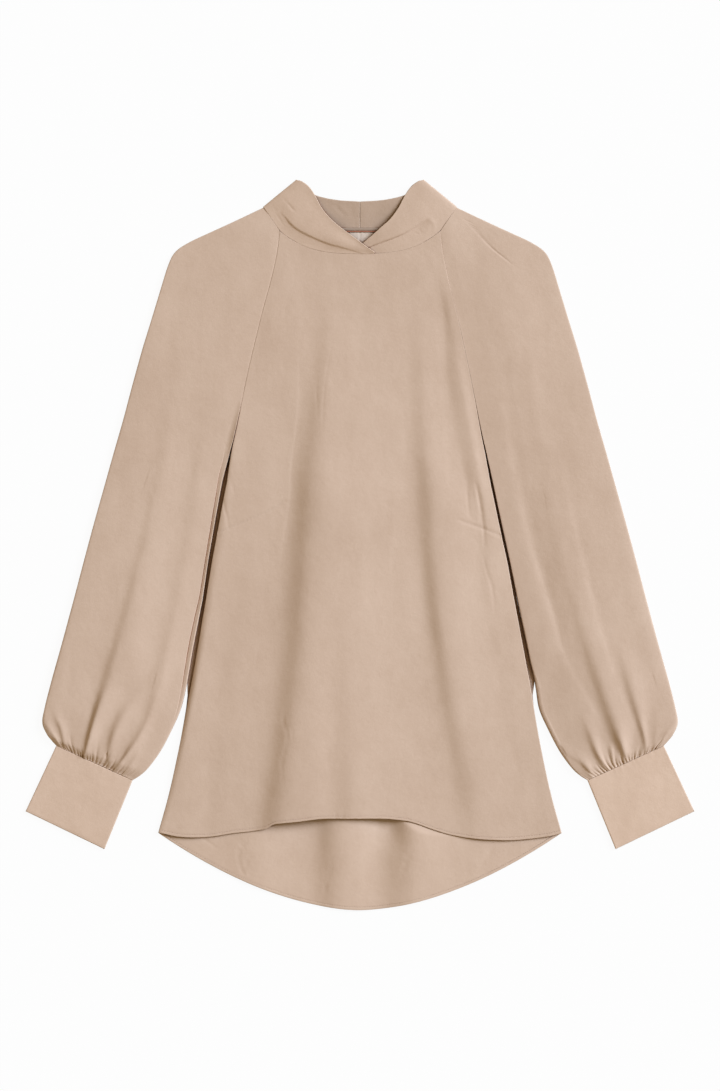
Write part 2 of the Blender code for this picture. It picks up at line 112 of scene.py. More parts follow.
# Folds that rise to the left hand of their path: x, y, slope of the face, its half-width on the low side
# (right hand) and on the high side, and how far the high side reaches
FRONT_FACES = (
    # long fold left of the middle
    ((-36.4, 251.5, 0, 8, 8, 54), (-38.5, 219.4, 0.08, 9, 7, 67.5), (-42.8, 187.2, 0.13, 9, 7, 81),
     (-47.1, 155.2, 0.2, 11, 9, 89.1), (-53.5, 112.4, 0.21, 12, 10, 97.2),
     (-59.9, 69.5, 0.32, 11, 13, 102.6), (-62.6, 32.1, 0.35, 11, 14, 105.3),
     (-65.3, -16.1, 0.31, 14, 11, 108), (-68.5, -58.9, 0.3), (-71.2, -101.7, 0.28),
     (-75.4, -144.5, 0.29, 14, 11, 102.6), (-80.8, -187.2, 0.33, 13, 11, 97.2),
     (-87.7, -230.1, 0.32, 12, 12, 94.5), (-94.7, -272.9, 0.3, 12, 13, 89.1),
     (-100.6, -313.5, 0.27, 12, 13, 83.7)),
    # fold right of the middle
    ((59.9, 251.5, 0, 10, 10, 30), (59.9, 219.4, 0.05, 11, 10, 38), (61, 187.2, 0.11, 11, 9, 52),
     (62.1, 144.5, 0.14, 10, 9, 60), (64.2, 107, 0.17, 9, 8, 66), (66.3, 80.2, 0.25, 8.5, 9, 68),
     (68.5, 48.2, 0.27, 8.5, 9.5, 70), (71.2, 0, 0.32, 7.5, 9, 72), (76, -58.9, 0.29, 7.5, 9, 70),
     (82.4, -101.7, 0.27, 7, 8.5), (88.8, -144.5, 0.23, 8, 8, 66), (95.8, -187.2, 0.2, 8.5, 8, 62),
     (104.3, -230.1, 0.15, 11, 9, 58), (112.9, -272.9, 0.1, 12, 12, 54), (116.6, -313.5, 0.07, 12, 12, 50)),
    # light line beside it
    ((82.4, 272.9, 0, 3, 3, 14), (83.5, 240.8, -0.03), (85.6, 191.5), (88.8, 149.8), (93.1, 93.1),
     (96.3, 35.3, 0)),
    # light side of it lower down
    ((98.4, 26.8, 0, 6, 6, 14), (102.7, -16.1, -0.01, 6, 6, 16), (112.4, -80.2, -0.01, 6, 6, 18),
     (123.1, -144.5, -0.01, 7, 7), (135.9, -208.7, -0.01, 8, 8), (147.7, -262.2), (155.2, -311.4, 0)),
    # low fold at the lower right
    ((139.1, -58.9, 0, 6, 6, 30), (144.5, -101.7, 0.04), (149.8, -133.8), (159.4, -179.8), (165.9, -216.1),
     (170.1, -262.2, 0.02), (172.3, -311.4, 0)),
    # light band left of the middle
    ((-53.5, -112.4, 0, 8, 8, 20), (-44.9, -165.9, -0.02, 8, 8, 22), (-40.7, -219.4),
     (-44.9, -272.9, -0.03), (-49.2, -313.5)),
    # soft fold near the middle
    ((-3.2, -101.7, 0, 6, 6, 40), (-8.6, -144.5, 0.01), (-11.8, -208.7, 0.02), (-13.9, -262.2, 0.04),
     (-16.1, -313.5)),
)
LEFT_FACES = (
    # deep fold down to the cuff
    ((-205.4, 123.1, 0, 7, 6, 23.8), (-212.9, 85.6, 0.09, 7, 5, 27.2), (-221.5, 56.7, 0.11, 6, 5, 30.6),
     (-226.3, 34.2, 0.11, 5, 4.5, 34), (-231.1, 5.4, 0.13, 5, 4.5, 37.4), (-239.7, -23.5, 0.17, 5, 5, 40.8),
     (-247.7, -55.6, 0.22, 4.5, 5, 44.2), (-257.3, -91, 0.23, 4.2), (-267.5, -126.3, 0.34, 4.8, 4.5, 40.8),
     (-275, -153, 0.43, 4.6, 3.8, 24), (-284.1, -180.8, 1.05, 2.2, 2.2, 14.4),
     (-291, -205.4, 1.2, 1.5, 1.7, 9.6), (-294.8, -221.5, 0.75, 1.4, 1.5, 6)),
    # second fold
    ((-202.2, -58.9, 0, 6, 8, 20.8), (-210.8, -112.4, 0.09, 8, 6), (-222.6, -140.2, 0.09, 5, 6, 18.2),
     (-240.8, -161.6, 0.14, 5, 5, 15.6), (-255.1, -178.7, 0.34, 4.5, 5, 14.3),
     (-264.8, -200.1, 0.45, 4, 4.5, 10.4), (-269.1, -219.4, 0.45, 2.2, 2.2, 6.5)),
    # third fold
    ((-204.4, -111.3, 0, 6, 5, 12), (-219.4, -156.2, 0.18, 6, 4.5), (-225.8, -177.6, 0.26, 4.5, 2.8, 11),
     (-232.2, -193.7, 0.36, 4.5, 2.5, 10), (-241.3, -209.7, 0.52, 3.6, 2.5, 9),
     (-252.5, -225.8, 1.05, 1.6, 1.7, 6), (-261.5, -237.5, 0.52, 1.8, 1.8, 5)),
    ((-235.4, -217.2, 0, 2.6, 3, 6), (-244.6, -231.1, 0.3, 2, 2.4), (-252.5, -242.4, 0.3, 2, 2, 5)),
    # folds at the outer corner
    ((-330.6, -162.6, 0, 4, 5, 8), (-327.4, -181.9, 0.14, 3, 3, 7), (-321.4, -195.8, 0.45, 2, 2.4, 6),
     (-317.8, -210.8, 0.45, 2, 2, 5)),
    ((-340.3, -178.7, 0, 2, 3, 5), (-336, -194.7, 0.52, 2.4), (-325.3, -210.8, 0.6, 2.4, 3, 4)),
    # soft fold along the upper arm
    ((-194.7, 272.9, 0, 6, 6, 20), (-199, 198, 0.04), (-209.7, 123.1, 0.05, 6, 7), (-224.7, 80.2, 0.04, 5)),
    # soft fold down the inner side
    ((-171.2, 133.8, 0, 6, 7, 16), (-176.6, 80.2, 0.07), (-182.4, 26.8, 0.08), (-195.8, -48.2, 0.11, 8, 6),
     (-206.5, -101.7, 0.1, 7), (-216.6, -135.9, 0.06, 7, 6, 14)),
    # light band between the folds
    ((-190.5, 91, 0, 6, 6, 14), (-201.2, 26.8, -0.01), (-211.9, -16.1, -0.02), (-224.7, -58.9),
     (-235.4, -101.7, -0.02, 6, 6, 13), (-246.1, -131.6, -0.03, 6, 5, 12), (-255.7, -153, -0.02, 5, 5, 10)),
)
RIGHT_FACES = (
    # deep fold down to the cuff
    ((193.7, 80.2, 0, 7, 6, 30.6), (200.1, 37.5, 0.05, 8, 7), (206, 10.7, 0.07, 8, 7, 34),
     (211.3, -16.1, 0.07, 6), (217.7, -37.5, 0.08, 5.5), (225.8, -62.1, 0.09, 5, 6),
     (235.4, -94.2, 0.14, 5.5), (242.4, -114.5, 0.2, 7, 6, 30.6), (250.4, -141.2, 0.27, 5.5, 5.5, 29),
     (260, -169.1, 0.3, 5, 6, 24), (269.2, -195.4, 0.41, 5, 5.5, 18), (278.4, -217, 0.71, 3.6, 3, 8.4),
     (284.6, -233.3, 0.3, 2, 2, 4.8)),
    # ridge beside it
    ((216.1, 91, 0, 3, 3, 14), (227.4, 30, -0.05), (235.4, -5.4, -0.07, 3.4, 3.4),
     (244, -44.9, -0.09, 3.6, 3.6), (253.6, -80.2, -0.07, 3.6, 3.6, 13), (263.2, -112.4, -0.07, 3, 3, 12),
     (275, -147.7, -0.03, 3, 3, 10), (288.4, -179.8, -0.04, 2.4, 2.4, 8), (295.3, -203.3, 0, 2, 2, 6)),
    # ridge down the inner side
    ((149.8, 208.7, 0, 4, 4, 14), (155.2, 155.2, -0.05, 5, 5), (160.5, 101.7, -0.08, 4.5, 4.5), (168, 66.3),
     (177.6, 19.3, -0.12, 5, 4.2), (191.5, -30, -0.15, 5, 3), (206, -77, -0.15, 5, 3, 13),
     (215.1, -109.1, -0.1, 4, 2.2, 12), (231.1, -143.4, -0.05, 2.2, 2.2, 10),
     (248.2, -173.3, -0.07, 3, 3, 9), (262.2, -201.2, 0, 2, 2, 6)),
    # fold at the middle of the cuff
    ((276.6, -107, 0, 4, 3, 10), (280.3, -130.5, 0.14, 4.4, 4.4, 18), (285.2, -147.7, 0.26, 4.6, 5, 20),
     (290, -165.9, 0.38, 4, 4.2, 18), (296.9, -187.2, 0.42, 3.4, 4, 8), (302.3, -205.4, 0.49, 2.4, 2.4, 5),
     (305, -220.4, 0.22, 2, 2, 4)),
    # fold over the inner half of the cuff
    ((234.3, -180.8, 0, 5, 3.6, 9), (242.4, -198, 0.18, 4.5, 2.8), (247.3, -212.3, 0.39, 3, 3, 8),
     (254.1, -227.1, 0.64, 2.4, 2.4, 7), (263, -238.7, 0.41, 2.6, 2.4, 4)),
    # lip at the inner corner
    ((206.5, -214, 0, 2, 4, 6), (215.1, -221.5, 0.3, 2.4, 4, 7), (224.5, -227.3, 0.22, 1.8, 2, 8),
     (232.2, -231.1, 0.34, 2.2, 1.8), (240.4, -238, 0.6, 3, 2.4, 7), (245.2, -244.6, 0.56, 2.4, 1.8, 5),
     (248.8, -252.5, 0.15, 2, 2, 4)),
    ((265.4, -210.8, 0, 2, 2, 5), (268, -223.6, 0.38, 2.4, 2.4), (271.8, -238.6, 0.22, 1.8, 1.8, 4)),
    # folds at the outer corner
    ((339.2, -174.4, 0, 3, 3, 6), (334.1, -192.4, 0.3), (325.8, -201.5, 0.45, 3, 1.8, 5),
     (318.2, -215.7, 0.38, 3, 3, 4)),
    ((316.7, -174.4, 0, 2, 2, 5), (315.1, -195.8, 0.09, 2.6, 3), (313.5, -218.3, 0.19, 1.6, 1.8, 4)),
    # soft fold along the upper arm
    ((171.2, 262.2, 0, 7, 7, 20), (179.8, 176.6, 0.04, 7, 6), (190.5, 101.7, 0.04, 8), (196.9, 58.9, 0.02)),
    # soft fold down the outer side
    ((246.1, 133.8, 0, 8, 8, 16), (269.6, 48.2, 0.04), (287.8, -48.2, 0.04, 8, 7),
     (312.4, -133.8, 0.05, 7, 6, 14)),
)

# Grooves and ridges: x, y, height, half-width on the right hand and on the left hand of the path
FRONT_GROOVES = (
    # fold beside the right raglan seam
    ((79.7, 294.2, 0, 30, 6), (87.2, 258.9, -0.79, 36), (89.3, 222.6, -1.58, 40, 9),
     (90.4, 187.2, -1.84, 40, 11), (93.1, 162.6, -2.11, 40, 12), (97.4, 130.5, -1.76, 36, 13),
     (103.8, 101.7, -1.84, 32, 12), (109.1, 80.2, -1.58, 26, 9), (115, 48.2, -0.44, 20, 6),
     (119.3, 24.6, 0)),
    # pressed edge of the long fold
    ((-65.3, 235.4, 0, 1.2, 6), (-65.3, 198, -0.08), (-65.3, 155.2, -0.14, 1.2, 7),
     (-68.5, 120.9, -0.19, 1.2, 8), (-73.8, 80.2, -0.22), (-74.9, 48.2, -0.19, 1.3, 9),
     (-82.4, -3.2, -0.17, 1.6, 10), (-87.7, -48.2, 0, 2)),
    # fine wrinkles above the long fold
    ((-25.7, 230.1, 0, 1.2, 1.2), (-35.3, 187.2, -0.11), (-39.6, 142.3, -0.15), (-38.5, 115.6, 0)),
    ((-46, 176.6, 0, 1.1, 1.1), (-46.5, 159.4, -0.2), (-44.9, 138, 0)),
    # wrinkles above the right dart
    ((122, 71.7, 0, 1.3, 2.2), (126.3, 53.5, -0.72, 1.4, 2.4), (130, 30, -0.81),
     (132.7, 5.4, -0.36, 1.4, 2.2), (131.6, -7.5, 0, 1.2, 2)),
    # soft hollow beside the right dart
    ((111.3, 88.8, 0, 12, 7), (118.8, 58.9, -0.8, 14, 8), (124.1, 16.1, -1, 14, 9), (127.3, -32.1, -0.8),
     (130.5, -80.2, 0)),
    ((130.5, -7.5, 0, 1.3, 1.6), (134.8, -26.8, -0.25), (141.2, -46, -0.3), (144.5, -78.1, 0)),
    ((115.6, 71.7, 0, 1.3, 1.6), (115, 48.2, -0.35), (117.7, 26.8, 0)),
    ((125.2, 42.8, 0, 1.2, 1.2), (127.9, 26.8, -0.4), (128.4, 11.8, 0)),
    # wrinkles above the left dart
    ((-143.4, 84.5, 0, 1.2, 1.4), (-138.6, 69.5, -0.5), (-133.8, 53.5, 0)),
    ((-147.7, 53.5, 0, 1.2, 1.4), (-143.9, 35.3, -0.5), (-140.2, 18.2, -0.15)),
    ((-139.1, 89.9, 0, 1.1, 1.2), (-135.9, 76, -0.3), (-134.8, 66.3, 0)),
    ((-116.6, 201.2, 0, 1.1, 1.2), (-113.4, 193.7, -0.35), (-110.2, 186.2, 0)),
    ((-84.5, 200.1, 0, 1.1, 1.2), (-81.9, 191.5, -0.2), (-79.2, 183, 0)),
    ((-79.2, 258.9, 0, 1.2, 1.2), (-80.2, 248.2, -0.16), (-78.1, 238.6, 0)),
    # soft troughs of the lower front
    ((-23.5, -58.9, 0, 11, 11), (-25.7, -144.5, -0.48), (-27.8, -219.4, -0.66), (-28.9, -305)),
    ((-132.7, -16.1, 0, 12, 12), (-143.4, -101.7, -0.3), (-156.2, -208.7, -0.5), (-164.8, -310.3)),
    # crumpled edge low on the long fold
    ((-73.8, -169.1, 0, 1.1, 1.1), (-82.4, -186.2, -0.35), (-77, -205.4), (-83.5, -232.2, -0.3),
     (-81.3, -268.6, 0)),
    ((-78.1, -191.5, 0, 1, 1), (-71.7, -201.2, -0.3), (-77, -215.1, 0)),
    ((-107, -107, 0, 1, 1.2), (-110.2, -117.7, -0.2), (-111.3, -130.5, 0)),
    # puckers at the front hem
    ((-25.7, -281.4, 0, 0.9, 0.9), (-25.7, -293.2, -0.3)),
    ((-19.3, -279.3, 0, 0.9, 0.9), (-18.2, -293.2, -0.35)),
    ((-11.8, -281.4, 0, 0.9, 0.9), (-11.8, -293.2, -0.3)),
    ((-5.4, -282.5, 0, 0.9, 0.9), (-6.4, -293.2, -0.25)),
)
DARTS = (
    # left
    ((-76, 49, 0, 0.8, 0.9), (-82.4, 45.4, -0.65), (-94.2, 38, -0.8), (-111.3, 30), (-140.2, 18.2),
     (-151.9, 13.5)),
    # right
    ((101.7, 28.4, 0, 0.9, 0.8), (109.1, 25.1, -0.65), (127.3, 19, -0.8), (149.8, 10.4)),
)
LEFT_GROOVES = (
    # line beside the underarm
    ((-148.2, 101.7, 0, 1, 1), (-153, 48.2, -0.35), (-160, 12.8, -0.4), (-165.3, -23.5),
     (-170.1, -58.9, -0.35), (-178.7, -96.3, -0.3), (-184, -117.7, 0)),
    ((-224.7, 69.5, 0, 1.2, 1.2), (-221.5, 61, -0.3), (-216.1, 48.2, 0)),
    ((-308.2, -101.7, 0, 6, 6), (-311.4, -139.1, -0.5), (-314.6, -171.2, 0)),
    # shoulder dart
    ((-141.2, 338.1, 0, 0.9, 0.9), (-156.2, 326.9, -0.2), (-170.1, 317.8, -0.28), (-186.2, 313.5, -0.2),
     (-194.7, 314, 0)),
)
RIGHT_GROOVES = (
    # shoulder dart
    ((103.8, 362.7, 0, 0.9, 0.9), (108.1, 356.3, -0.35), (122, 338.7, -0.45), (140.2, 318.5, -0.4),
     (156.2, 305.5, -0.3), (164.8, 299.1, 0)),
    ((188.3, 88.8, 0, 1.2, 1.2), (181.9, 56.7, -0.2), (176.6, 48.2, 0)),
)
TAIL_GROOVES = (
    # hollow at the middle of the hem
    ((31, -272.9, -2.8, 14, 12), (33.2, -296.4), (37.5, -315.7, -1.6, 13), (42.8, -334.9, 0, 12)),
    # star of small wrinkles
    ((-124.1, -360.6, 0, 0.9, 0.9), (-125.2, -352, -0.6), (-128.4, -343.5, -0.4), (-130.5, -332.8),
     (-126.3, -322.1), (-115.6, -313.5, 0)),
    ((-123.1, -359.5, 0, 0.9, 0.9), (-117.7, -352, -0.5), (-111.3, -345.6, 0)),
    ((-123.1, -359.5, 0, 0.9, 0.9), (-132.7, -356.3, -0.4), (-141.2, -349.9, 0)),
    ((-122, -358.5, 0, 0.9, 0.9), (-112.4, -357.4, -0.35), (-102.7, -354.2, 0)),
    ((-125.2, -352, 0, 0.9, 0.9), (-120.9, -339.2, -0.4), (-113.4, -326.4, 0)),
    ((-172.3, -311.4, 0, 1, 1), (-162.6, -317.8, -0.35), (-148.7, -327.4, 0)),
    ((137, -326.4, 0, 1, 1), (134.8, -334.9, -0.35), (126.3, -352, 0)),
    ((142.3, -322.1, 0, 1, 1), (140.2, -329.6, -0.3), (138, -343.5, 0)),
    ((113.4, -334.9, 0, 1, 1), (115.6, -347.8, -0.3), (111.3, -363.8, 0)),
    ((50.3, -326.4, 0, 1, 1), (47.1, -343.5, -0.35), (40.7, -362.7, 0)),
    ((55.6, -317.8, 0, 1, 1), (51.4, -337.1, -0.3), (44.9, -354.2, 0)),
    ((-38.5, -339.2, 0, 1, 1), (-35.3, -352, -0.4), (-37.5, -369.2), (-40.7, -385.2, 0)),
    ((-31, -334.9, 0, 1, 1), (-32.1, -349.9, -0.3), (-34.2, -369.2, 0)),
)
COLLAR_LEFT_GROOVES = (
    # crease over the band
    ((-84.5, 356.3, 0, 1.2, 8), (-79.7, 351.5, 0.5, 1, 9), (-74.4, 345, 0.78, 1, 10),
     (-65.5, 337.5, 0.9, 1, 11), (-48.5, 328.9), (-31.4, 322.2, 0.82, 1, 10), (-22.8, 320.1, 0.7, 1, 9),
     (-10.9, 316.8, 0.5, 1, 7), (-1.6, 313.9, 0.35, 0.9, 5), (4.3, 311.9, 0, 0.8, 4)),
    # wrinkles near the shoulder
    ((-86.7, 374.5, 0, 1, 1), (-81.3, 369.2, -0.25), (-74.9, 362.7, -0.3), (-69.5, 355.8, 0)),
    ((-96.3, 369.2, 0, 1, 1), (-93.1, 362.7, -0.25), (-88.8, 355.2, 0)),
    ((-79.2, 364.9, 0, 1, 1.2), (-72.8, 359.5, -0.2), (-67.4, 355.2, 0)),
    ((-94.2, 346.7, 0, 1.5, 1.5), (-89.9, 353.1, -0.25), (-84.5, 346.7, -0.2), (-81.3, 339.2, 0)),
)
COLLAR_RIGHT_GROOVES = (
    # crease over the band
    ((6.4, 316.7, 0, 5, 0.7), (11.8, 318.9, -1.1, 6), (23.2, 323.4, -1.6, 7), (36.9, 328.3, -1.8, 8),
     (50.5, 334.3, -1.7, 8, 0.8), (62.5, 341.8, -1.5, 7, 1), (69.3, 346.1, -0.8, 6, 1.2),
     (73.8, 349.4, 0, 5)),
    # wrinkles near the shoulder
    ((69.5, 348.8, 0, 1.5, 1.5), (74.9, 347.8, 0.2), (79.2, 343.5, 0.25), (79.7, 333.8, 0)),
    ((61, 341.3, 0, 1, 1), (64.2, 336, -0.25), (68.5, 330.6, 0)),
    ((56.7, 334.9, 0, 1, 1), (61, 332.8, -0.2), (65.3, 332.8, 0)),
)
COLLAR_BACK_GROOVES = (
    # seam at the centre back
    ((0, 371.3, -0.05, 0.7, 0.7), (0, 334.9)),
    # two fine wrinkles inside the back
    ((-28.9, 365.9, 0, 0.9, 0.9), (-21.4, 357.4, -0.35), (-10.7, 346.1, 0)),
    ((-13.9, 364.9, 0, 0.9, 0.9), (-9.6, 357.4, -0.25), (-8.6, 348.8, 0)),
)

# Heights of the front, and for each change the y where it starts and the length that it takes
FRONT_LEVEL = 6.4
HEM_LEVEL, HEM_FALL = 4.4, (-190.0, 110.0)
HEM_ARCH, ARCH_X, ARCH_HALF, ARCH_RISE = 3.4, 8.0, 84.0, (-170.0, 115.0)
FOLDS_RUN_OUT = (120.0, 80.0)  # where the folds start to run out to the side edge
CREVICE_Y = (40.0, 165.0)  # between these heights the seam beside each sleeve sinks into the crevice
EDGE_LEVEL = 0.35  # the least height of the side edge
EDGE_RADIUS = 0.5
SEAM_DROP, EDGE_DROP = 0.1, 4.6  # how far it rounds down along the raglan seam and beside the crevice
NECK_HOLDS, SIDE_HOLDS = 14.0, 12.0  # how far from these seams the cloth still lies down
DART_END = 1.5  # how far from the side edge a dart ends
EDGE_ROWS = (0, 0.25, 0.6, 1.0, 1.5, 2.2, 3.2, 4.5, 6.0, 8.0)  # places of the points beside an edge
HEM_ROWS = (0, 0.15, 0.4, 0.8, 1.3, 1.9, 2.5, 2.9, 3.2, 3.5, 4.0, 4.8, 6.0, 7.6)
FRONT_BAND, TAIL_BAND = 0.1, 0.14  # how much thicker the hems look
HEM_STITCH, STITCH_HALF = 3.2, 0.45  # the stitched line's distance from the hem, and its half-width

# Rounded edges: how far each comes down, and over what width
NECK_ROUND = (0.05, 0.6)
HEM_ROUND = (0.4, 0.5)
TAIL_ROUND = (0.5, 1.0)
GATHERED_ROUND = (0.15, 0.6)
CUFF_SEAM_ROUND = (0.15, 0.5)
CUFF_END_ROUND = (0.9, 0.8)

# Unevenness of the cloth in three sizes: height, and the size of a cell in x and in y
FRONT_WAVES = ((0.42, 46.0, 130.0), (0.16, 17.0, 44.0), (0.045, 6.0, 8.0))
SLEEVE_WAVES = ((0.5, 40.0, 120.0), (0.18, 15.0, 42.0), (0.05, 6.0, 9.0))
CUFF_WAVES = ((0.45, 34.0, 30.0), (0.12, 9.0, 9.0))

# How far from its path a crease is worked out: half-widths and reaches of a face, half-widths of a groove
FACE_CUT, REACH_CUT, GROOVE_CUT = 3.0, 2.2, 2.6

# The soft roll of the body's left edge, which lies away from the light: y, width and end slope
SOFT_ROLL = (
    (160, 0.1, 0.34), (10, 8, 0.36), (-60, 8, 0.45), (-110, 7, 0.75), (-150, 6.5, 1), (-185, 6, 0.95),
    (-230, 6, 0.55), (-310, 6, 0.34),
)

# The crevices between the body and the sleeves: y, how far the body's edge and the sleeve's draw back from
# BODY_EDGE, and the width and depth of the lip beside the sleeve's underarm seam. A negative depth is the
# height of a raised edge.
CREVICE_LEFT = (
    (190, 0, 0, 5, 0), (160, 0), (145, 0.15, -0.15, 6, -0.9), (112, 0.7, -0.7, 8, -1.9),
    (96, 1.4, -0.1, 7, -0.9), (88, 1.8, 0.3, 6, 0.6), (70, 2.8, 1.5, 6.2, 1.1), (48, 2.6, 1.5, 5.2, 1.4),
    (27, 2.6, 1.5, 4.8, 1.6), (-16, 2.1, 1.5, 4.2, 1.5), (-37.5, 2.4, 0.9, 4.3), (-59, 2.7, 0.3, 4.4, 1.6),
    (-80, 2.8, 0.6, 5.2, 1.7), (-102, 3, 1, 5.6, 1.8), (-123, 2.5, 1.8, 5.4, 1.7), (-145, 1.4, 2.6, 5, 1.4),
    (-166, 0.6, 3.9, 4.2, 0.9), (-187, 0.3, 4, 3, 0), (-230, 0, 4, 2.5),
)
CREVICE_RIGHT = (
    (300, 0, 0, 2.5, 0), (260, 0.8, -0.8), (198, 2.2, -2.2), (155, 2.9, -2.9), (134, 3.6, -3.6),
    (112, 4.7, -4.4), (91, 5.4, -4.5), (70, 5.9, -4.2), (48, 5.5, -3.8), (27, 5, -3.1), (5, 4.1, -2.1),
    (-16, 3.2, -1.1), (-37, 3, -0.5), (-59, 2.8, 0.1), (-80, 2.6, 0.6), (-102, 2.4, 1.5), (-123, 1.7, 2.7),
    (-145, 0.3, 4.9), (-166, 0, 4.6), (-230, 0),
)


def lerp(a, b, t):
    return a + (b - a) * t


def ease(t):
    t = np.clip(t, 0.0, 1.0)
    return t * t * (3.0 - 2.0 * t)


def round_off(t):
    """A quarter circle from 0 to 1."""
    t = 1.0 - np.clip(t, 0.0, 1.0)
    return np.sqrt(1.0 - t * t)


def bell(t):
    """A bell curve, 1 at nought."""
    return np.exp(-(t**2))


def arched(u):
    """Half a sine wave over the places from 0 to 1."""
    return np.sin(math.pi * np.clip(u, 0.0, 1.0))


def edge_drop(distance, drop, radius):
    """How far a rounded edge has come down at a distance inside it."""
    return drop * (1.0 - round_off(distance / radius))


def filled(rows):
    """A table's rows, with the last columns of the row above where a row leaves them out."""
    made = [rows[0]]
    for row in rows[1:]:
        made.append((*row, *made[-1][len(row):]))
    return made


def catmull(table, places):
    """Points on the smooth curve through a table's rows. A place is a row number with a fraction."""
    table = np.asarray(table, float)
    last = len(table) - 1
    places = np.clip(np.asarray(places, float), 0.0, last)
    i = np.minimum(places.astype(int), last - 1)
    t = (places - i)[:, None]
    ends = np.vstack([2 * table[0] - table[1], table, 2 * table[-1] - table[-2]])
    a, b, c, d = ends[i], ends[i + 1], ends[i + 2], ends[i + 3]
    return 0.5 * (2 * b + (c - a) * t + (2 * a - 5 * b + 4 * c - d) * t**2 + (3 * b - a - 3 * c + d) * t**3)


def value_noise(x, y, cell_x, cell_y, seed):
    """Smooth noise between -1 and 1, the same each run."""
    u, v = np.asarray(x) / cell_x + 500.0, np.asarray(y) / cell_y + 500.0
    lattice = np.random.RandomState(seed).uniform(-1.0, 1.0, (1024, 1024))
    i, j = np.floor(u).astype(int), np.floor(v).astype(int)
    s, t = ease(u - i), ease(v - j)
    a, b = lattice[i % 1024, j % 1024], lattice[(i + 1) % 1024, j % 1024]
    c, d = lattice[i % 1024, (j + 1) % 1024], lattice[(i + 1) % 1024, (j + 1) % 1024]
    return lerp(lerp(a, b, s), lerp(c, d, s), t)


def waves(x, y, sizes, seed):
    """The cloth's unevenness, with a seed for each size."""
    return sum(height * value_noise(x, y, *cell, seed + k) for k, (height, *cell) in enumerate(sizes))


def near_path(path, x, y, reach):
    """The points near a path: indices, distance (left hand positive) and the path's columns there."""
    count = len(path)
    dense = catmull(path, np.linspace(0, count - 1, 6 * (count - 1) + 1))
    low, high = dense[:, :2].min(0) - reach, dense[:, :2].max(0) + reach
    found = np.flatnonzero((x > low[0]) & (x < high[0]) & (y > low[1]) & (y < high[1]))
    px, py = x[found], y[found]
    best = np.full(len(found), np.inf)
    signed, where = np.zeros(len(found)), np.zeros(len(found))
    for k, (a, b) in enumerate(zip(dense, dense[1:])):
        dx, dy = b[0] - a[0], b[1] - a[1]
        t = np.clip(((px - a[0]) * dx + (py - a[1]) * dy) / (dx * dx + dy * dy), 0.0, 1.0)
        ox, oy = px - a[0] - dx * t, py - a[1] - dy * t
        far = ox * ox + oy * oy
        closer = far < best
        best[closer] = far[closer]
        signed[closer] = np.where(dx * oy - dy * ox > 0, 1.0, -1.0)[closer] * np.sqrt(far[closer])
        where[closer] = k + t[closer]
    steps = np.arange(len(dense))
    columns = [np.interp(where, steps, dense[:, k]) for k in range(2, dense.shape[1])]
    return found, signed, columns


def relief(x, y, faces=(), grooves=()):
    """The height that the creases add at each point."""
    shape = np.shape(x)
    x, y = np.ravel(x), np.ravel(y)
    z = np.zeros(len(x))
    for path in map(filled, faces):
        widest = max(max(FACE_CUT * row[3], REACH_CUT * row[5]) for row in path)
        found, far, (slope, low, high, reach) = near_path(path, x, y, widest)
        before = slope * low * (1.0 + np.tanh(np.minimum(far, 0.0) / low))
        after = slope * high * np.tanh(np.maximum(far, 0.0) / high)
        z[found] += (before + after) * bell(np.maximum(far, 0.0) / reach)
    for path in map(filled, grooves):
        widest = GROOVE_CUT * max(max(row[3:5]) for row in path)
        found, far, (height, right, left) = near_path(path, x, y, widest)
        z[found] += height * bell(far / np.where(far < 0, right, left))
    return z.reshape(shape)


def walked(points):
    """The length along a line of points, up to each of them."""
    return np.concatenate([[0.0], np.cumsum(np.linalg.norm(np.diff(points, axis=0), axis=1))])


BODY_CURVE = catmull(BODY_EDGE, np.linspace(0, len(BODY_EDGE) - 1, 600))
HEM_CURVE = catmull(FRONT_HEM, np.linspace(0, len(FRONT_HEM) - 1, 400))


def body_half(y):
    return np.interp(-np.asarray(y), -BODY_CURVE[:, 0], BODY_CURVE[:, 1])


def front_neck(x):
    return NECK_SHUT + NECK_Y + NECK_RISE * np.abs(x / NECK_HALF) ** 3


def back_neck(x):
    return BACK_NECK_Y - (BACK_NECK_Y - BACK_NECK_END_Y) * (x / NECK_HALF) ** 2


def front_hem(x):
    return np.interp(x, HEM_CURVE[:, 0], HEM_CURVE[:, 1])


def back_hem(x):
    return BACK_HEM_Y + (HEM_SIDE_Y - BACK_HEM_Y) * (np.abs(x) / HEM_HALF) ** TAIL_POWER


def across(width, count):
    """Places across rows of these widths: close together beside both edges and even between them."""
    edge = np.array(EDGE_ROWS, float)
    width = np.asarray(width, float)[:, None]
    middle = lerp(edge[-1], width - edge[-1], np.linspace(0, 1, count)[None, 1:-1])
    return np.hstack([np.repeat(edge[None], len(width), 0), middle, width - edge[None, ::-1]])


def rows_down(stops, start_rows=EDGE_ROWS, end_rows=HEM_ROWS):
    """Distances down a panel: start rows, then steps of a given size up to each stop, then the end rows."""
    made = list(start_rows)
    for stop, step in stops:
        count = max(1, round((stop - made[-1]) / step))
        made += list(np.linspace(made[-1], stop, count + 1)[1:])
    total = made[-1] + end_rows[-1]
    return np.array(made + [total - k for k in end_rows[::-1][1:]]), total


def linked(name, data):
    """A new object of the scene."""
    made = bpy.data.objects.new(name, data)
    bpy.context.collection.objects.link(made)
    return made


def add_mesh(name, points, faces, material):
    """A smooth object from points in millimetres and lists of point numbers."""
    data = bpy.data.meshes.new(name)
    data.from_pydata((np.asarray(points) * MM).tolist(), [], faces)
    data.validate()
    data.shade_smooth()
    data.materials.append(material)
    made = linked(name, data)
    return made


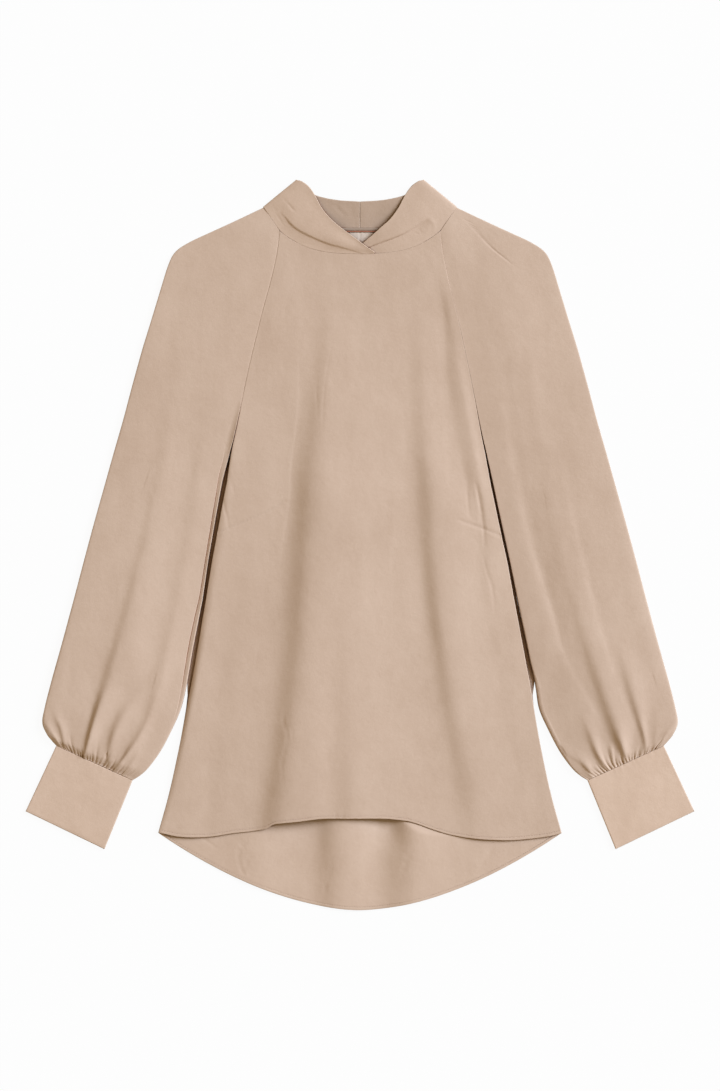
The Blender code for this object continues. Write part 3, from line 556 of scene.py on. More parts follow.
def grid_faces(rows, columns, closed=False):
    """The quads of a grid of points. A closed one joins its last column to its first."""
    index = np.arange(rows * columns).reshape(rows, columns)
    if closed:
        index = np.hstack([index, index[:, :1]])
    a, b, c, d = index[:-1, :-1], index[1:, :-1], index[1:, 1:], index[:-1, 1:]
    return np.stack([a, b, c, d], -1).reshape(-1, 4)


def sheet_mesh(name, grid, material, thickness, flip=False):
    """A cloth wall of a thickness below a grid of points."""
    rows, columns, _ = grid.shape
    quads = grid_faces(rows, columns)
    made = add_mesh(name, grid.reshape(-1, 3), (quads[:, ::-1] if flip else quads).tolist(), material)
    wall = made.modifiers.new("Cloth", "SOLIDIFY")
    wall.thickness = thickness * MM
    wall.offset = -1.0
    return made


# Materials
CREPE_LIGHT = (0.560, 0.418, 0.325)
CREPE_DARK = (0.500, 0.362, 0.274)

# Patches of tone, and the grain of the bump: scale, detail, roughness, weight and stretch of each noise
TONE_NOISES = (
    (11.0, 3.0, 0.55, 1.6, (1.0, 0.6, 1.0)), (46.0, 4.0, 0.6, 1.04, None), (330.0, 3.0, 0.6, 0.63, None),
)
GRAIN_NOISE = (1900.0, 2.0, 0.6, 0.35, None)
SOFT_NOISE = (150.0, 4.0, 0.62, 0.75, None)
BUMP_STRENGTH, BUMP_DEPTH = 0.5, 0.7
ROUGHNESS, SPECULAR = 0.86, 0.25
SHEEN_ROUGHNESS, SHEEN_TINT = 0.45, (1.0, 0.93, 0.87, 1.0)

# Painted shade in hollows, creases and crevices: ambient occlusion darkens and warms the base colour,
# standing for light lost between the fibres and folds: open share and tint
PAINTED_SHADE_TINTS = ((0.0, (0.03, 0.010, 0.004)), (0.3, (0.54, 0.30, 0.18)), (1.0, (1.0, 1.0, 1.0)))
OCCLUSION_REACH = 12.0
OCCLUSION_SAMPLES = 8
OCCLUSION_RANGE = (0.37, 0.70)


def set_inputs(tree, made, inputs):
    """Sets the inputs of a node to constants, or links them to other nodes."""
    for name, value in inputs.items():
        if isinstance(value, bpy.types.NodeSocket):
            tree.links.new(value, made.inputs[name])
        else:
            made.inputs[name].default_value = value


def add_node(tree, kind, inputs, **settings):
    """A shader node of a kind, with its settings and inputs."""
    made = tree.nodes.new("ShaderNode" + kind)
    for name, value in settings.items():
        setattr(made, name, value)
    set_inputs(tree, made, inputs)
    return made


def noise_sum(tree, place, noises):
    """Noises of a table, summed by their weights around one half."""
    total = 0.5 - 0.5 * sum(weight for _, _, _, weight, _ in noises)
    for scale, detail, roughness, weight, stretch in noises:
        at = place
        if stretch:
            at = add_node(tree, "Mapping", {"Vector": place, "Scale": stretch}).outputs["Vector"]
        noise = add_node(tree, "TexNoise", {
            "Vector": at, "Scale": scale, "Detail": detail, "Roughness": roughness})
        terms = {0: noise.outputs["Fac"], 1: weight, 2: total}
        total = add_node(tree, "Math", terms, operation="MULTIPLY_ADD").outputs[0]
    return total


def cloth_material(name, dark, light, nap=1.0, sheen=0.22):
    """Brushed cloth: soft patches of tone in three sizes, painted shade in hollows from ambient occlusion,
    a crepe grain in the bump and a light nap.
    """
    made = bpy.data.materials.new(name)
    made.use_nodes = True
    tree = made.node_tree
    place = add_node(tree, "TexCoord", {}).outputs["Object"]
    tone = noise_sum(tree, place, TONE_NOISES)
    mixed = add_node(tree, "Mix", {"A": (*dark, 1.0), "B": (*light, 1.0), "Factor": tone}, data_type="RGBA")
    # painted shade: ambient occlusion darkens and warms the base colour in hollows, creases and crevices
    deep = add_node(tree, "AmbientOcclusion", {"Distance": OCCLUSION_REACH * MM}, samples=OCCLUSION_SAMPLES)
    low, high = OCCLUSION_RANGE
    open_share = add_node(
        tree, "MapRange", {"From Min": low, "From Max": high, "Value": deep.outputs["AO"]},
        interpolation_type="SMOOTHSTEP")
    shade = add_node(tree, "ValToRGB", {"Fac": open_share.outputs["Result"]})
    stops = shade.color_ramp.elements
    stops.new(0.5)
    for stop, (position, tint) in zip(stops, PAINTED_SHADE_TINTS):
        stop.position, stop.color = position, (*tint, 1.0)
    shaded = add_node(
        tree, "Mix", {"Factor": 1.0, "A": mixed.outputs["Result"], "B": shade.outputs["Color"]},
        data_type="RGBA", blend_type="MULTIPLY")
    scale, detail, roughness, weight, stretch = GRAIN_NOISE
    grain = (scale, detail, roughness, weight * nap, stretch)
    height = noise_sum(tree, place, (grain, SOFT_NOISE))
    bump = add_node(tree, "Bump", {
        "Strength": BUMP_STRENGTH, "Distance": BUMP_DEPTH * MM, "Height": height})
    set_inputs(tree, tree.nodes["Principled BSDF"], {
        "Base Color": shaded.outputs["Result"], "Roughness": ROUGHNESS, "Specular IOR Level": SPECULAR,
        "Sheen Weight": sheen, "Sheen Roughness": SHEEN_ROUGHNESS, "Sheen Tint": SHEEN_TINT,
        "Normal": bump.outputs["Normal"],
    })
    return made


def crepe_cloth(name, tone, nap=1.0):
    """The blouse's crepe, with its tone as a share of the plain colours."""
    dark, light = (tuple(c * tone for c in colour) for colour in (CREPE_DARK, CREPE_LIGHT))
    return cloth_material(name, dark, light, nap)


INSIDE_NAP = 0.7
crepe = crepe_cloth("sand brushed crepe", 0.98)
# painted light: the cuffs are lighter copies of the crepe for the sheen of their nap, the right one lighter
# still as the light comes from the right
left_cuff_painted_light_crepe = crepe_cloth("sand brushed crepe, left cuff", 1.06)
right_cuff_painted_light_crepe = crepe_cloth("sand brushed crepe, right cuff", 1.11)
# painted light: the left collar is a lighter copy of the crepe than the right, for the light that falls on
# it
left_collar_painted_light_crepe = crepe_cloth("sand brushed crepe, left collar", 1.035)
right_collar_crepe = crepe_cloth("sand brushed crepe, right collar", 1.0)
inside_crepe = crepe_cloth("sand crepe, inside", 1.0, INSIDE_NAP)
# painted shade: the collar's inner face is a darker copy of the crepe, for the shade inside the standing
# collar
collar_inside_painted_shade = crepe_cloth("sand crepe, collar inside, painted shade", 0.88, INSIDE_NAP)
facing_cloth = cloth_material("pale facing", (0.54, 0.44, 0.37), (0.68, 0.57, 0.49), nap=0.6, sheen=0.1)
# painted shade: the seam allowance is real, and its dark copy of the crepe stands for the shade it lies in
seam_tape_painted_shade_crepe = crepe_cloth("sand crepe, seam allowance, painted shade", 0.58, INSIDE_NAP)
rose = cloth_material("rose binding", (0.34, 0.12, 0.07), (0.46, 0.19, 0.12), nap=0.5, sheen=0.1)
thread = cloth_material("sand thread", (0.44, 0.315, 0.235), (0.56, 0.42, 0.33), nap=0.3, sheen=0.3)


# Front
def side_roll(edge_y):
    """How far and over what width a side edge of the body rolls down at a height."""
    sunk = ease((CREVICE_Y[1] - edge_y) / (CREVICE_Y[1] - CREVICE_Y[0]))
    return lerp(SEAM_DROP, EDGE_DROP, sunk), EDGE_RADIUS


def drawn_back(table, edge_y):
    """The columns of a crevice or of the soft roll at a height."""
    down, *columns = np.array(filled(table)).T
    return [np.interp(-edge_y, -down, column) for column in columns]


def hem_band(from_hem, height):
    """The doubled cloth of a hem, drawn in along its stitched line."""
    return height * (from_hem < HEM_STITCH) - height * bell((from_hem - HEM_STITCH) / STITCH_HALF)


def front_height(x, y, inward, edge_y, from_neck, from_hem):
    """The front's height, which its seams hold down and its folds leave."""
    level = lerp(FRONT_LEVEL, HEM_LEVEL, ease((HEM_FALL[0] - y) / HEM_FALL[1]))
    level = level + HEM_ARCH * bell((x - ARCH_X) / ARCH_HALF) * ease((ARCH_RISE[0] - y) / ARCH_RISE[1])
    folds = relief(x, y, FRONT_FACES, FRONT_GROOVES)
    neck_free = ease(from_neck / NECK_HOLDS)
    free = ease(inward / SIDE_HOLDS) * neck_free
    fold_free = lerp(free, neck_free, ease((FOLDS_RUN_OUT[0] - edge_y) / FOLDS_RUN_OUT[1]))
    z = level + fold_free * folds + free * waves(x, y, FRONT_WAVES, 3)
    z = z + ease(inward / DART_END) * relief(x, y, (), DARTS)
    drop, radius = side_roll(edge_y)
    roll, slope = drawn_back(SOFT_ROLL, edge_y)
    z = z - (x < 0.0) * 0.5 * slope * roll * np.maximum(0.0, 1.0 - inward / roll) ** 2
    z = z - edge_drop(inward, np.minimum(drop, np.maximum(z - EDGE_LEVEL, 0.0)), radius)
    z = z - edge_drop(from_neck, *NECK_ROUND)
    return z + hem_band(from_hem, FRONT_BAND) - edge_drop(from_hem, *HEM_ROUND)


COVERED_Y, COVERED_FADE = -165.0, 15.0  # above this height the back goes on under the crevices


def panel(rows_at, total, count, top, bottom, draws_back):
    """A body panel's x and y, distance to its side edge, the edge's y and the share of the half-width."""
    down = rows_at / total
    edge_y = BODY_EDGE[0][0] + (BODY_EDGE[-1][0] - BODY_EDGE[0][0]) * down
    half = body_half(edge_y)
    (body_left, sleeve_left, _, _), (body_right, sleeve_right, _, _) = (
        drawn_back(table, edge_y) for table in (CREVICE_LEFT, CREVICE_RIGHT))
    if draws_back:
        left, right = body_left - half, half - body_right
    else:
        covered = ease((edge_y - COVERED_Y) / COVERED_FADE)
        left = -half - covered * np.maximum(0.0, sleeve_left)
        right = half + covered * np.maximum(0.0, sleeve_right)
    far = across(right - left, count)
    x = far + left[:, None]
    side = x / half[:, None]
    y = lerp(top(side * NECK_HALF), bottom(side * HEM_HALF), down[:, None])
    inward = np.minimum(far, (right - left)[:, None] - far)
    return x, y, inward, np.repeat(edge_y[:, None], x.shape[1], 1), side


FRONT_COLUMNS = 216
front_rows, front_total = rows_down(((265.0, 4.2), (345.0, 1.9), (628.0, 4.2)))
x, y, inward, edge_y, side = panel(front_rows, front_total, FRONT_COLUMNS, front_neck, front_hem, True)
from_neck = front_neck(side * NECK_HALF) - y
from_hem = y - front_hem(side * HEM_HALF)
front_grid = np.stack([x, y, front_height(x, y, inward, edge_y, from_neck, from_hem)], -1)
front = sheet_mesh("front", front_grid, crepe, CLOTH)

# Back
BACK_TOP = 1.0
TAIL_GAP = 0.35  # least gap between the front's hem and the tail below it
TAIL_RISE = 42.0  # how far under the front the tail starts to rise
TAIL_OPEN = 0.25  # how much more room the tail has for each millimetre below the hem
TAIL_LIFT_FADE = 100.0  # how far below the hem the tail's folds have come down to half
TAIL_LEAST, TAIL_WAVE = 0.95, 0.4  # the least height of the tail, and its unevenness
BACK_HEM_FROM = -300.0  # the back has its hem below this height
TAIL_WRINKLES = (-262.0, 30.0)  # y where the wrinkles of the tail start, and over what length
SMOOTHING = 11  # points of the hem's underside that are averaged for the room below it
padded_hem = np.pad(front_grid[-1, :, 2], SMOOTHING // 2, mode="edge")
HEM_UNDER = np.convolve(padded_hem, np.ones(SMOOTHING) / SMOOTHING, "valid") - CLOTH

# x of the tail's folds, and their height above the flat back beside the hem
TAIL_LEVEL = (
    (-216.1, 0.1), (-181.9, 0.5), (-155.2, 1), (-132.7, 1.7), (-117.7, 2.6), (-107, 2.9), (-94.2, 2.4),
    (-81.3, 1.5), (-68.5, 0.6), (-55.6, 0.1), (-47.1, 0.4), (-40.7, 1.5), (-34.2, 3.2), (-27.8, 4.5),
    (-21.4, 5.1), (-15, 5.1), (-8.6, 4.6), (0, 3.6), (8.6, 2.2), (17.1, 1.2), (23.5, 1.2), (30, 2),
    (36.4, 3.5), (42.8, 5), (49.2, 6.2), (56.7, 6.9), (65.3, 6.5), (76, 5.4), (87.7, 4.1), (98.4, 3.1),
    (111.3, 2.6), (124.1, 2.4), (139.1, 2), (171.2, 1.2), (198, 0.5), (216.1, 0.1),
)
TAIL_CURVE = catmull(TAIL_LEVEL, np.linspace(0, len(TAIL_LEVEL) - 1, 400))


def back_height(x, y, from_hem):
    """The back's height: flat under the front, with the tail's folds rising from under the hem."""
    below = front_hem(x) - y
    under_hem = np.interp(x, front_grid[-1, :, 0], HEM_UNDER)
    room = under_hem - TAIL_GAP - BACK_TOP + TAIL_OPEN * np.maximum(below, 0.0)
    lift = np.interp(x, TAIL_CURVE[:, 0], TAIL_CURVE[:, 1]) * lerp(1.0, 0.5, ease(below / TAIL_LIFT_FADE))
    z = BACK_TOP + np.maximum(np.minimum(lift, room), 0.0) * ease(below / TAIL_RISE + 1.0)
    down = ease((TAIL_WRINKLES[0] - y) / TAIL_WRINKLES[1])
    z = z + down * ease((from_hem + 2.0) / 14.0) * relief(x, y, (), TAIL_GROOVES)
    z = z + down * (0.5 + 0.5 * value_noise(x, y, 30.0, 40.0, 8)) * TAIL_WAVE
    z = np.maximum(z, TAIL_LEAST) + hem_band(from_hem, TAIL_BAND) * (y < BACK_HEM_FROM)
    return z - edge_drop(from_hem, *TAIL_ROUND)


back_rows, back_total = rows_down(((560.0, 14.0), (600.0, 4.0), (700.0, 1.6)))
x, y, inward, edge_y, side = panel(back_rows, back_total, 170, back_neck, back_hem, False)
from_hem = y - back_hem(side * HEM_HALF)
back_grid = np.stack([x, y, back_height(x, y, from_hem)], -1)
back = sheet_mesh("back", back_grid, inside_crepe, CLOTH)


# Sleeves
TOP_COUNT, ARC_STEPS, BOTTOM_STEPS = 146, 9, 22
UNDER_RETURN = 3.0  # how far the folded inner edge goes back under the sleeve
CROWN_POWER, LIT_CROWN_POWER = 0.5, 0.25  # how fast a sleeve rises from an edge, and from one in the light
THIN_ARM, LOFT = 5.2, 0.3  # height of the arm where it is thin, and the share of the solid's puff above it
THIN_FOLD, INNER_FOLD = 2.2, 2.4  # radius of a folded edge where the arm is thin, and of the inner one
EDGE_WIDTH, LIT_EDGE_WIDTH = 0.8, 0.3  # how wide a folded edge looks from above, and one in the light
ON_BODY = 16  # the last section that ends at the crevice beside the body
INNER_CLOSES = (118.0, 66.0)  # y where the inner side starts to fold under, and over what length
CUFF_BLEND, CROWN_BLEND = 14.0, 10.0  # how far above the cuff the edges and the middle come down to it
LIP_GROWTH = 1.25  # how far the cloth has sunk at the far side of the lip, in its depths
LEAST_TOP = 1.9

# The right sleeve's inner edge rounds wider where it is fullest: by how much, how fast it rises, and the y
# and distance from the cuff where that starts and ends, with the length that each takes
PUFF_EDGE, PUFF_POWER = 4.2, 1.3
PUFF_START, PUFF_END = (-125.0, 32.0), (6.0, 26.0)

# Columns across the top: share of the lip's width and distance beyond it, and distance from the outer edge
LIP_COLUMNS = (
    (0, 0), (0, 0.2), (0.25, 0), (0.5, 0), (0.75, 0),
    (1, -0.3), (1, -0.1), (1, 0.1), (1, 0.3), (1, 1.2), (1, 3),
)
OUTER_COLUMNS = (7.5, 5.0, 3.2, 1.8, 0.8, 0.0)

# Small puckers along a cuff seam, with the share of each length
PUCKERS = 27
PUCKER_LENGTHS, PUCKER_SHARES = (5.0, 6.5, 8.0, 12.0, 17.0), (0.3, 0.25, 0.2, 0.15, 0.1)


def sleeve_table(crevice):
    """The sections with both ends: the first ones end at the crevice beside the body."""
    made = list(SLEEVE)
    for i, (y, edge) in enumerate(BODY_EDGE):
        if len(made[i]) < 6:
            made[i] = (*made[i], edge + SHUT + drawn_back(crevice, y)[1], y)
    return made


def sleeve_places(sections):
    """Section numbers with fractions, closer together near the cuff, and their distances from it."""
    fine = np.linspace(0, len(SLEEVE) - 1, 2400)
    curve = catmull(sections, fine)
    middle = 0.5 * (curve[:, 0:2] + curve[:, 4:6])
    run = walked(middle)
    total = run[-1]
    stops = np.concatenate([
        np.array(EDGE_ROWS), np.linspace(EDGE_ROWS[-1], total - 95.0, 118)[1:],
        np.linspace(total - 95.0, total - 40.0, 34)[1:], np.linspace(total - 40.0, total - 4.0, 33)[1:],
        total - np.array((3.0, 2.2, 1.5, 0.9, 0.4, 0.0)),
    ])
    return np.interp(stops, run, fine), total - stops


def gathers(u, v, seam_width, seed):
    """Small puckers along the cuff seam: u is the share across and v the distance from the seam."""
    draw = np.random.RandomState(seed)
    z = 0.8 * bell(v / 9.0) * ease(v / 4.5) * np.ones_like(u)
    for k in range(PUCKERS):
        at = (k + 0.5 + draw.uniform(-0.28, 0.28)) / PUCKERS
        long = draw.choice(PUCKER_LENGTHS, p=PUCKER_SHARES)
        deep = draw.uniform(0.9, 2.0)
        wide = draw.uniform(0.5, 0.85) * (0.8 + 0.03 * long)
        lean = draw.uniform(-0.14, 0.14)
        away = (u - at) * seam_width - lean * v
        width = wide * (1.0 + v / (1.3 * long))
        z = z - deep * np.exp(-(np.abs(away / width) ** 1.5)) * np.exp(-((v / long) ** 1.7))
    return z * lerp(0.6, 1.0, ease(v / 2.5))


def edge_widths(sign):
    """The widths of the inner and outer folded edges on one side: the light comes from the right."""
    return (EDGE_WIDTH, LIT_EDGE_WIDTH) if sign > 0 else (LIT_EDGE_WIDTH, EDGE_WIDTH)


def column_list():
    """An empty list of a flat tube's columns, and a function that adds one."""
    made = []

    def put(distance, z, kind):
        made.append((distance, z * np.ones_like(distance), kind))

    return made, put


def under_and_round(put, near, far, steps, width, fold):
    """The columns of a flat tube's underside and of its outer folded edge."""
    for i in range(steps):
        put(lerp(near, far, i / steps), 0.0, "bottom")
    for i in range(ARC_STEPS):
        turn = math.pi * (i / ARC_STEPS - 0.5)
        put(far + width * math.cos(turn), fold * (1.0 + math.sin(turn)), "arc")


def laid_out(inner, step, columns, sign):
    """The grid of a flat tube from its columns of distance, height and kind, with its x, y and z apart."""
    distance, z = (np.stack([column[k] for column in columns], 1) for k in (0, 1))
    plan = inner[:, None, :] + step[:, None, :] * distance[:, :, None]
    return distance, sign * plan[:, :, 0], plan[:, :, 1], z, np.array([column[2] for column in columns])


def sleeve_grid(sign, faces, grooves, seed):
    """One sleeve as a closed strip: under, round the outer fold, over the top and round the inner fold."""
    crevice = CREVICE_RIGHT if sign > 0 else CREVICE_LEFT
    sections = sleeve_table(crevice)
    places, from_cuff = sleeve_places(sections)
    table = catmull(sections, places)
    outer, fold, crown, inner = table[:, 0:2], table[:, 2], table[:, 3], table[:, 4:6]
    middle = THIN_ARM + LOFT * (2.0 * fold + crown - THIN_ARM)
    at_cuff = ease(1.0 - from_cuff / CUFF_BLEND)
    fold = lerp(np.minimum(fold, THIN_FOLD + LOFT * (fold - THIN_FOLD)), 0.5 * CUFF_HEIGHT, at_cuff)
    crown = lerp(middle - 2.0 * fold, 0.0, ease(1.0 - from_cuff / CROWN_BLEND))
    on_body = places <= ON_BODY
    inner[on_body, 0] = body_half(inner[on_body, 1]) + SHUT + drawn_back(crevice, inner[on_body, 1])[1]
    edge_y = inner[:, 1]
    width = np.linalg.norm(outer - inner, axis=1)
    step = (outer - inner) / width[:, None]
    closed = ease((INNER_CLOSES[0] - edge_y) / INNER_CLOSES[1])
    seam_drop, seam_radius = side_roll(edge_y)
    drop = lerp(lerp(seam_drop, INNER_FOLD, closed), 0.5 * CUFF_HEIGHT, at_cuff)
    inner_width, outer_width = edge_widths(sign)
    puffed = ease((PUFF_START[0] - edge_y) / PUFF_START[1]) * ease((from_cuff - PUFF_END[0]) / PUFF_END[1])
    puffed = puffed * (sign > 0)
    radius = lerp(seam_radius, inner_width + PUFF_EDGE * puffed, closed)
    extent = lerp(0.5 * math.pi, math.pi, closed)
    start_level = lerp(lerp(FRONT_LEVEL - 0.2, 2.0 * INNER_FOLD, closed), CUFF_HEIGHT, at_cuff)
    near, far = radius, width - outer_width
    columns, put = column_list()
    bottom_start = lerp(0.0, near + UNDER_RETURN + SEAM, closed)
    under_and_round(put, bottom_start, far, BOTTOM_STEPS, outer_width, fold)
    run = far - near
    lip, lip_deep = drawn_back(crevice, edge_y)[2:]
    inset = np.stack([share * lip + beyond for share, beyond in LIP_COLUMNS], 1)
    outset = np.minimum(np.array(OUTER_COLUMNS)[None, :], 0.3 * run[:, None])
    middle = lerp(inset[:, -1:], run[:, None] - outset[:, :1], np.linspace(0, 1, TOP_COUNT)[None, 1:-1])
    tops = np.hstack([inset, middle, run[:, None] - outset])[:, ::-1]
    start = lerp(lerp(1.0, CROWN_POWER if sign > 0 else LIT_CROWN_POWER, closed), PUFF_POWER, puffed)
    for k in range(tops.shape[1]):
        u = np.clip(tops[:, k] / run, 0.0, 1.0)
        crowned = arched(u) ** lerp(start, CROWN_POWER, ease(2.0 * u))
        level = lerp(start_level, 2.0 * fold, u) + crown * crowned
        in_lip = tops[:, k] / lip * (tops[:, k] < lip)
        raised = np.maximum(0.0, 1.0 - tops[:, k] / lip) ** 2
        sunk = np.where(lip_deep > 0.0, LIP_GROWTH * in_lip, raised) * lip_deep
        put(near + tops[:, k], level - sunk, "top")
    for i in range(1, ARC_STEPS + 1):
        turn = 0.5 * math.pi - extent * i / ARC_STEPS
        put(near - radius * np.cos(turn), start_level - drop + drop * np.sin(turn), "arc")
    for i in (1, 2):
        under = UNDER_RETURN * i / 2.0
        end_z = start_level - drop + drop * np.sin(0.5 * math.pi - extent)
        put(lerp(0.0, near + under, closed), end_z - lerp(0.4 * i, 0.0, closed), "edge")

    distance, x, y, z, kinds = laid_out(inner, step, columns, sign)
    top = kinds == "top"
    u = (distance[:, top] - near[:, None]) / run[:, None]
    free = arched(u) ** 0.35
    puckers = gathers(u, from_cuff[:, None], width[-1], seed)
    from_neck = from_cuff[0] - from_cuff
    calm = ease(from_cuff / 30.0)[:, None] * ease(from_neck / NECK_HOLDS)[:, None]
    on_top = x[:, top], y[:, top]
    folds = relief(*on_top, faces, grooves)
    z[:, top] += free * (folds + puckers + waves(*on_top, SLEEVE_WAVES, seed + 1) * calm)
    z[:, top] = np.maximum(z[:, top], LEAST_TOP)
    z[:, top] -= edge_drop(from_neck, *NECK_ROUND)[:, None]
    z[:, top] -= edge_drop(from_cuff, *GATHERED_ROUND)[:, None]
    low = kinds == "bottom"
    share = (distance[:, low] - bottom_start[:, None]) / (far - bottom_start)[:, None]
    under = gathers(share, from_cuff[:, None], width[-1], seed + 7)
    z[:, low] += np.clip(0.6 + under, 0.0, 1.2) * bell(from_cuff / 16.0)[:, None]
    return np.stack([x, y, np.maximum(z, 0.0)], -1)


left_sleeve_grid = sleeve_grid(-1.0, LEFT_FACES, LEFT_GROOVES, 40)
right_sleeve_grid = sleeve_grid(1.0, RIGHT_FACES, RIGHT_GROOVES, 60)
left_sleeve = sheet_mesh("left_sleeve", left_sleeve_grid, crepe, CLOTH)
right_sleeve = sheet_mesh("right_sleeve", right_sleeve_grid, crepe, CLOTH, flip=True)


# Cuffs
CUFF_ROWS = (0, 0.3, 0.7, 1.2, 1.8, *np.linspace(2.6, 76.0, 62), 77, 77.8, 78.3)  # distances down the cuff
CUFF_BOTTOM_STEPS, CUFF_TOP_STEPS = 28, 80
CUFF_BULGE = 0.5
CUFF_PUCKER = (0.16, 2.4, 40.0, 5.0)  # height, size across and down, and how far down they fade
END_LINE = (0.3, 1.6, 0.4)  # depth, distance from the open end and half-width of the line along its fold


def cuff_grid(sign, seed):
    """One cuff as a closed strip: under, round the outer fold, over the top and round the inner fold."""
    rows_at = np.array(CUFF_ROWS)
    t = rows_at / rows_at[-1]
    corners = [lerp(np.array(a)[None], np.array(b)[None], t[:, None]) for a, b in zip(CUFF_SEAM, CUFF_END)]
    long = np.linalg.norm(np.array(CUFF_END[0]) - np.array(CUFF_SEAM[0]))
    down = (np.array(CUFF_END[0]) - np.array(CUFF_SEAM[0])) / long
    shift = SHUT * (1.0 - t)[:, None] * down[None]
    outer, inner = corners[0] + shift, corners[1] + shift
    width = np.linalg.norm(outer - inner, axis=1)
    step = (outer - inner) / width[:, None]
    fold = CUFF_HEIGHT / 2.0
    inner_width, outer_width = edge_widths(sign)
    far, near = width - outer_width, np.full_like(width, inner_width)
    columns, put = column_list()
    under_and_round(put, near, far, CUFF_BOTTOM_STEPS, outer_width, fold)
    for i in range(CUFF_TOP_STEPS + 1):
        put(lerp(far, near, i / CUFF_TOP_STEPS), CUFF_HEIGHT, "top")
    for i in range(1, ARC_STEPS + 1):
        turn = math.pi * (0.5 + i / ARC_STEPS)
        put(near + inner_width * math.cos(turn), fold * (1 + math.sin(turn)), "arc")
    distance, x, y, z, kinds = laid_out(inner, step, columns, sign)
    top = kinds == "top"
    run = t[:, None] * long
    from_end = long - run
    u = (distance[:, top] - near[:, None]) / (far - near)[:, None]
    height, wide, deep, fade = CUFF_PUCKER
    pucker = height * value_noise(u * 90.0, run + 0 * u, wide, deep, seed + 2)
    soft = waves(x[:, top], y[:, top], CUFF_WAVES, seed) + pucker * bell(run / fade)
    z[:, top] += arched(u) ** 0.4 * soft + CUFF_BULGE * arched(u) * arched(run / long) ** 0.5
    z[:, top] -= edge_drop(run, *CUFF_SEAM_ROUND) + edge_drop(from_end, *CUFF_END_ROUND)
    z[:, top] -= END_LINE[0] * bell((from_end - END_LINE[1]) / END_LINE[2])
    return np.stack([x, y, z], -1)


left_cuff = sheet_mesh("left_cuff", cuff_grid(-1.0, 80), left_cuff_painted_light_crepe, CUFF_CLOTH)
right_cuff = sheet_mesh("right_cuff", cuff_grid(1.0, 90), right_cuff_painted_light_crepe, CUFF_CLOTH, flip=True)


# Collar
RUNGS, RUNG_STEPS = 190, 72
COLLAR_TURN, COLLAR_TURN_FADE = 8.0, 2.5  # the rung where the collar starts to turn, and how many it takes
COLLAR_PUFF, FULL_PUFF_LONG = 1.2, 25.0  # how far the front puffs out, in full where it is this long
COLLAR_WAVE, COLLAR_WAVE_CELL = 0.35, 22.0
SEAM_EDGE, TOP_EDGE, END_EDGE = 0.2, 0.5, 0.2  # rounding at the neck seam, the top and the ends
CLOSE_PLACES = (0.0, 0.004, 0.011)  # places of the rungs beside an end


def collar_mesh(name, sign, front_rungs, front_grooves, cloth, seed):
    """One half of the collar, from the centre back round to its wrapped end, as a closed ring of cloth."""
    table = COLLAR_BACK + front_rungs
    last = len(table) - 1
    ends = np.array(CLOSE_PLACES)
    places = np.concatenate([ends, np.linspace(0.03, last - 0.03, RUNGS - 6), last - ends[::-1]])
    rungs = catmull(table, places)
    w = np.linspace(0, 1, RUNG_STEPS)
    w = w + 0.5 * (ease(w) - w)
    seam, top = rungs[:, None, 0:3], rungs[:, None, 3:6]
    mid = seam + (top - seam) * w[None, :, None]
    long = np.linalg.norm(top - seam, axis=2)
    turned = ease((places - COLLAR_TURN) / COLLAR_TURN_FADE)[:, None]
    mid[:, :, 0] *= sign
    x, y = mid[:, :, 0], mid[:, :, 1]
    late = (w**1.5 - w)[None] * (top - seam)[:, :, 2] * turned
    puff = COLLAR_PUFF * (np.sin(math.pi * w) ** 2)[None] * turned * np.minimum(1.0, long / FULL_PUFF_LONG)
    mid[:, :, 2] += late + puff + turned * relief(x, y, (), front_grooves)
    mid[:, :, 2] += (1.0 - turned) * relief(x, y, (), COLLAR_BACK_GROOVES)
    wave = COLLAR_WAVE * value_noise(x, y, COLLAR_WAVE_CELL, COLLAR_WAVE_CELL, seed)
    mid[:, :, 2] += wave * np.sin(math.pi * w)[None]
    along = np.gradient(mid, axis=0)
    out = np.cross(along, np.gradient(mid, axis=1))
    out /= np.maximum(np.linalg.norm(out, axis=2, keepdims=True), 1e-9)
    out *= sign
    walk = walked(mid[:, RUNG_STEPS // 2])
    end = np.minimum(walk, walk[-1] - walk)[:, None]
    edge = np.minimum(w, 1.0 - w)[None] * long
    radius = np.where(w < 0.5, SEAM_EDGE, TOP_EDGE)[None]
    half = COLLAR_HALF * round_off(edge / radius) * round_off(end / END_EDGE)
    one, other = mid + out * half[:, :, None], mid - out * half[:, :, None]
    ring = np.concatenate([one, other[:, ::-1]], 1)
    rows, columns, _ = ring.shape
    quads = grid_faces(rows, columns, closed=True)
    if sign > 0:
        quads = quads[:, ::-1]
    made = add_mesh(name, ring.reshape(-1, 3), quads.tolist(), cloth)
    # the inner face gets the darker copy of the crepe, a painted shade
    made.data.materials.append(collar_inside_painted_shade)
    outward = out[RUNGS * 3 // 4:, :, 2].mean() > 0  # the first half of the ring is the outer face
    painted_shade_faces = np.arange(columns) < RUNG_STEPS
    painted_shade_faces = ~painted_shade_faces if outward else painted_shade_faces
    made.data.polygons.foreach_set("material_index", np.tile(painted_shade_faces, rows - 1).astype(np.int32))
    return made


left_collar = collar_mesh("left_collar", -1.0, COLLAR_OVER, COLLAR_LEFT_GROOVES, left_collar_painted_light_crepe, 21)
right_collar = collar_mesh("right_collar", 1.0, COLLAR_UNDER, COLLAR_RIGHT_GROOVES, right_collar_crepe, 22)

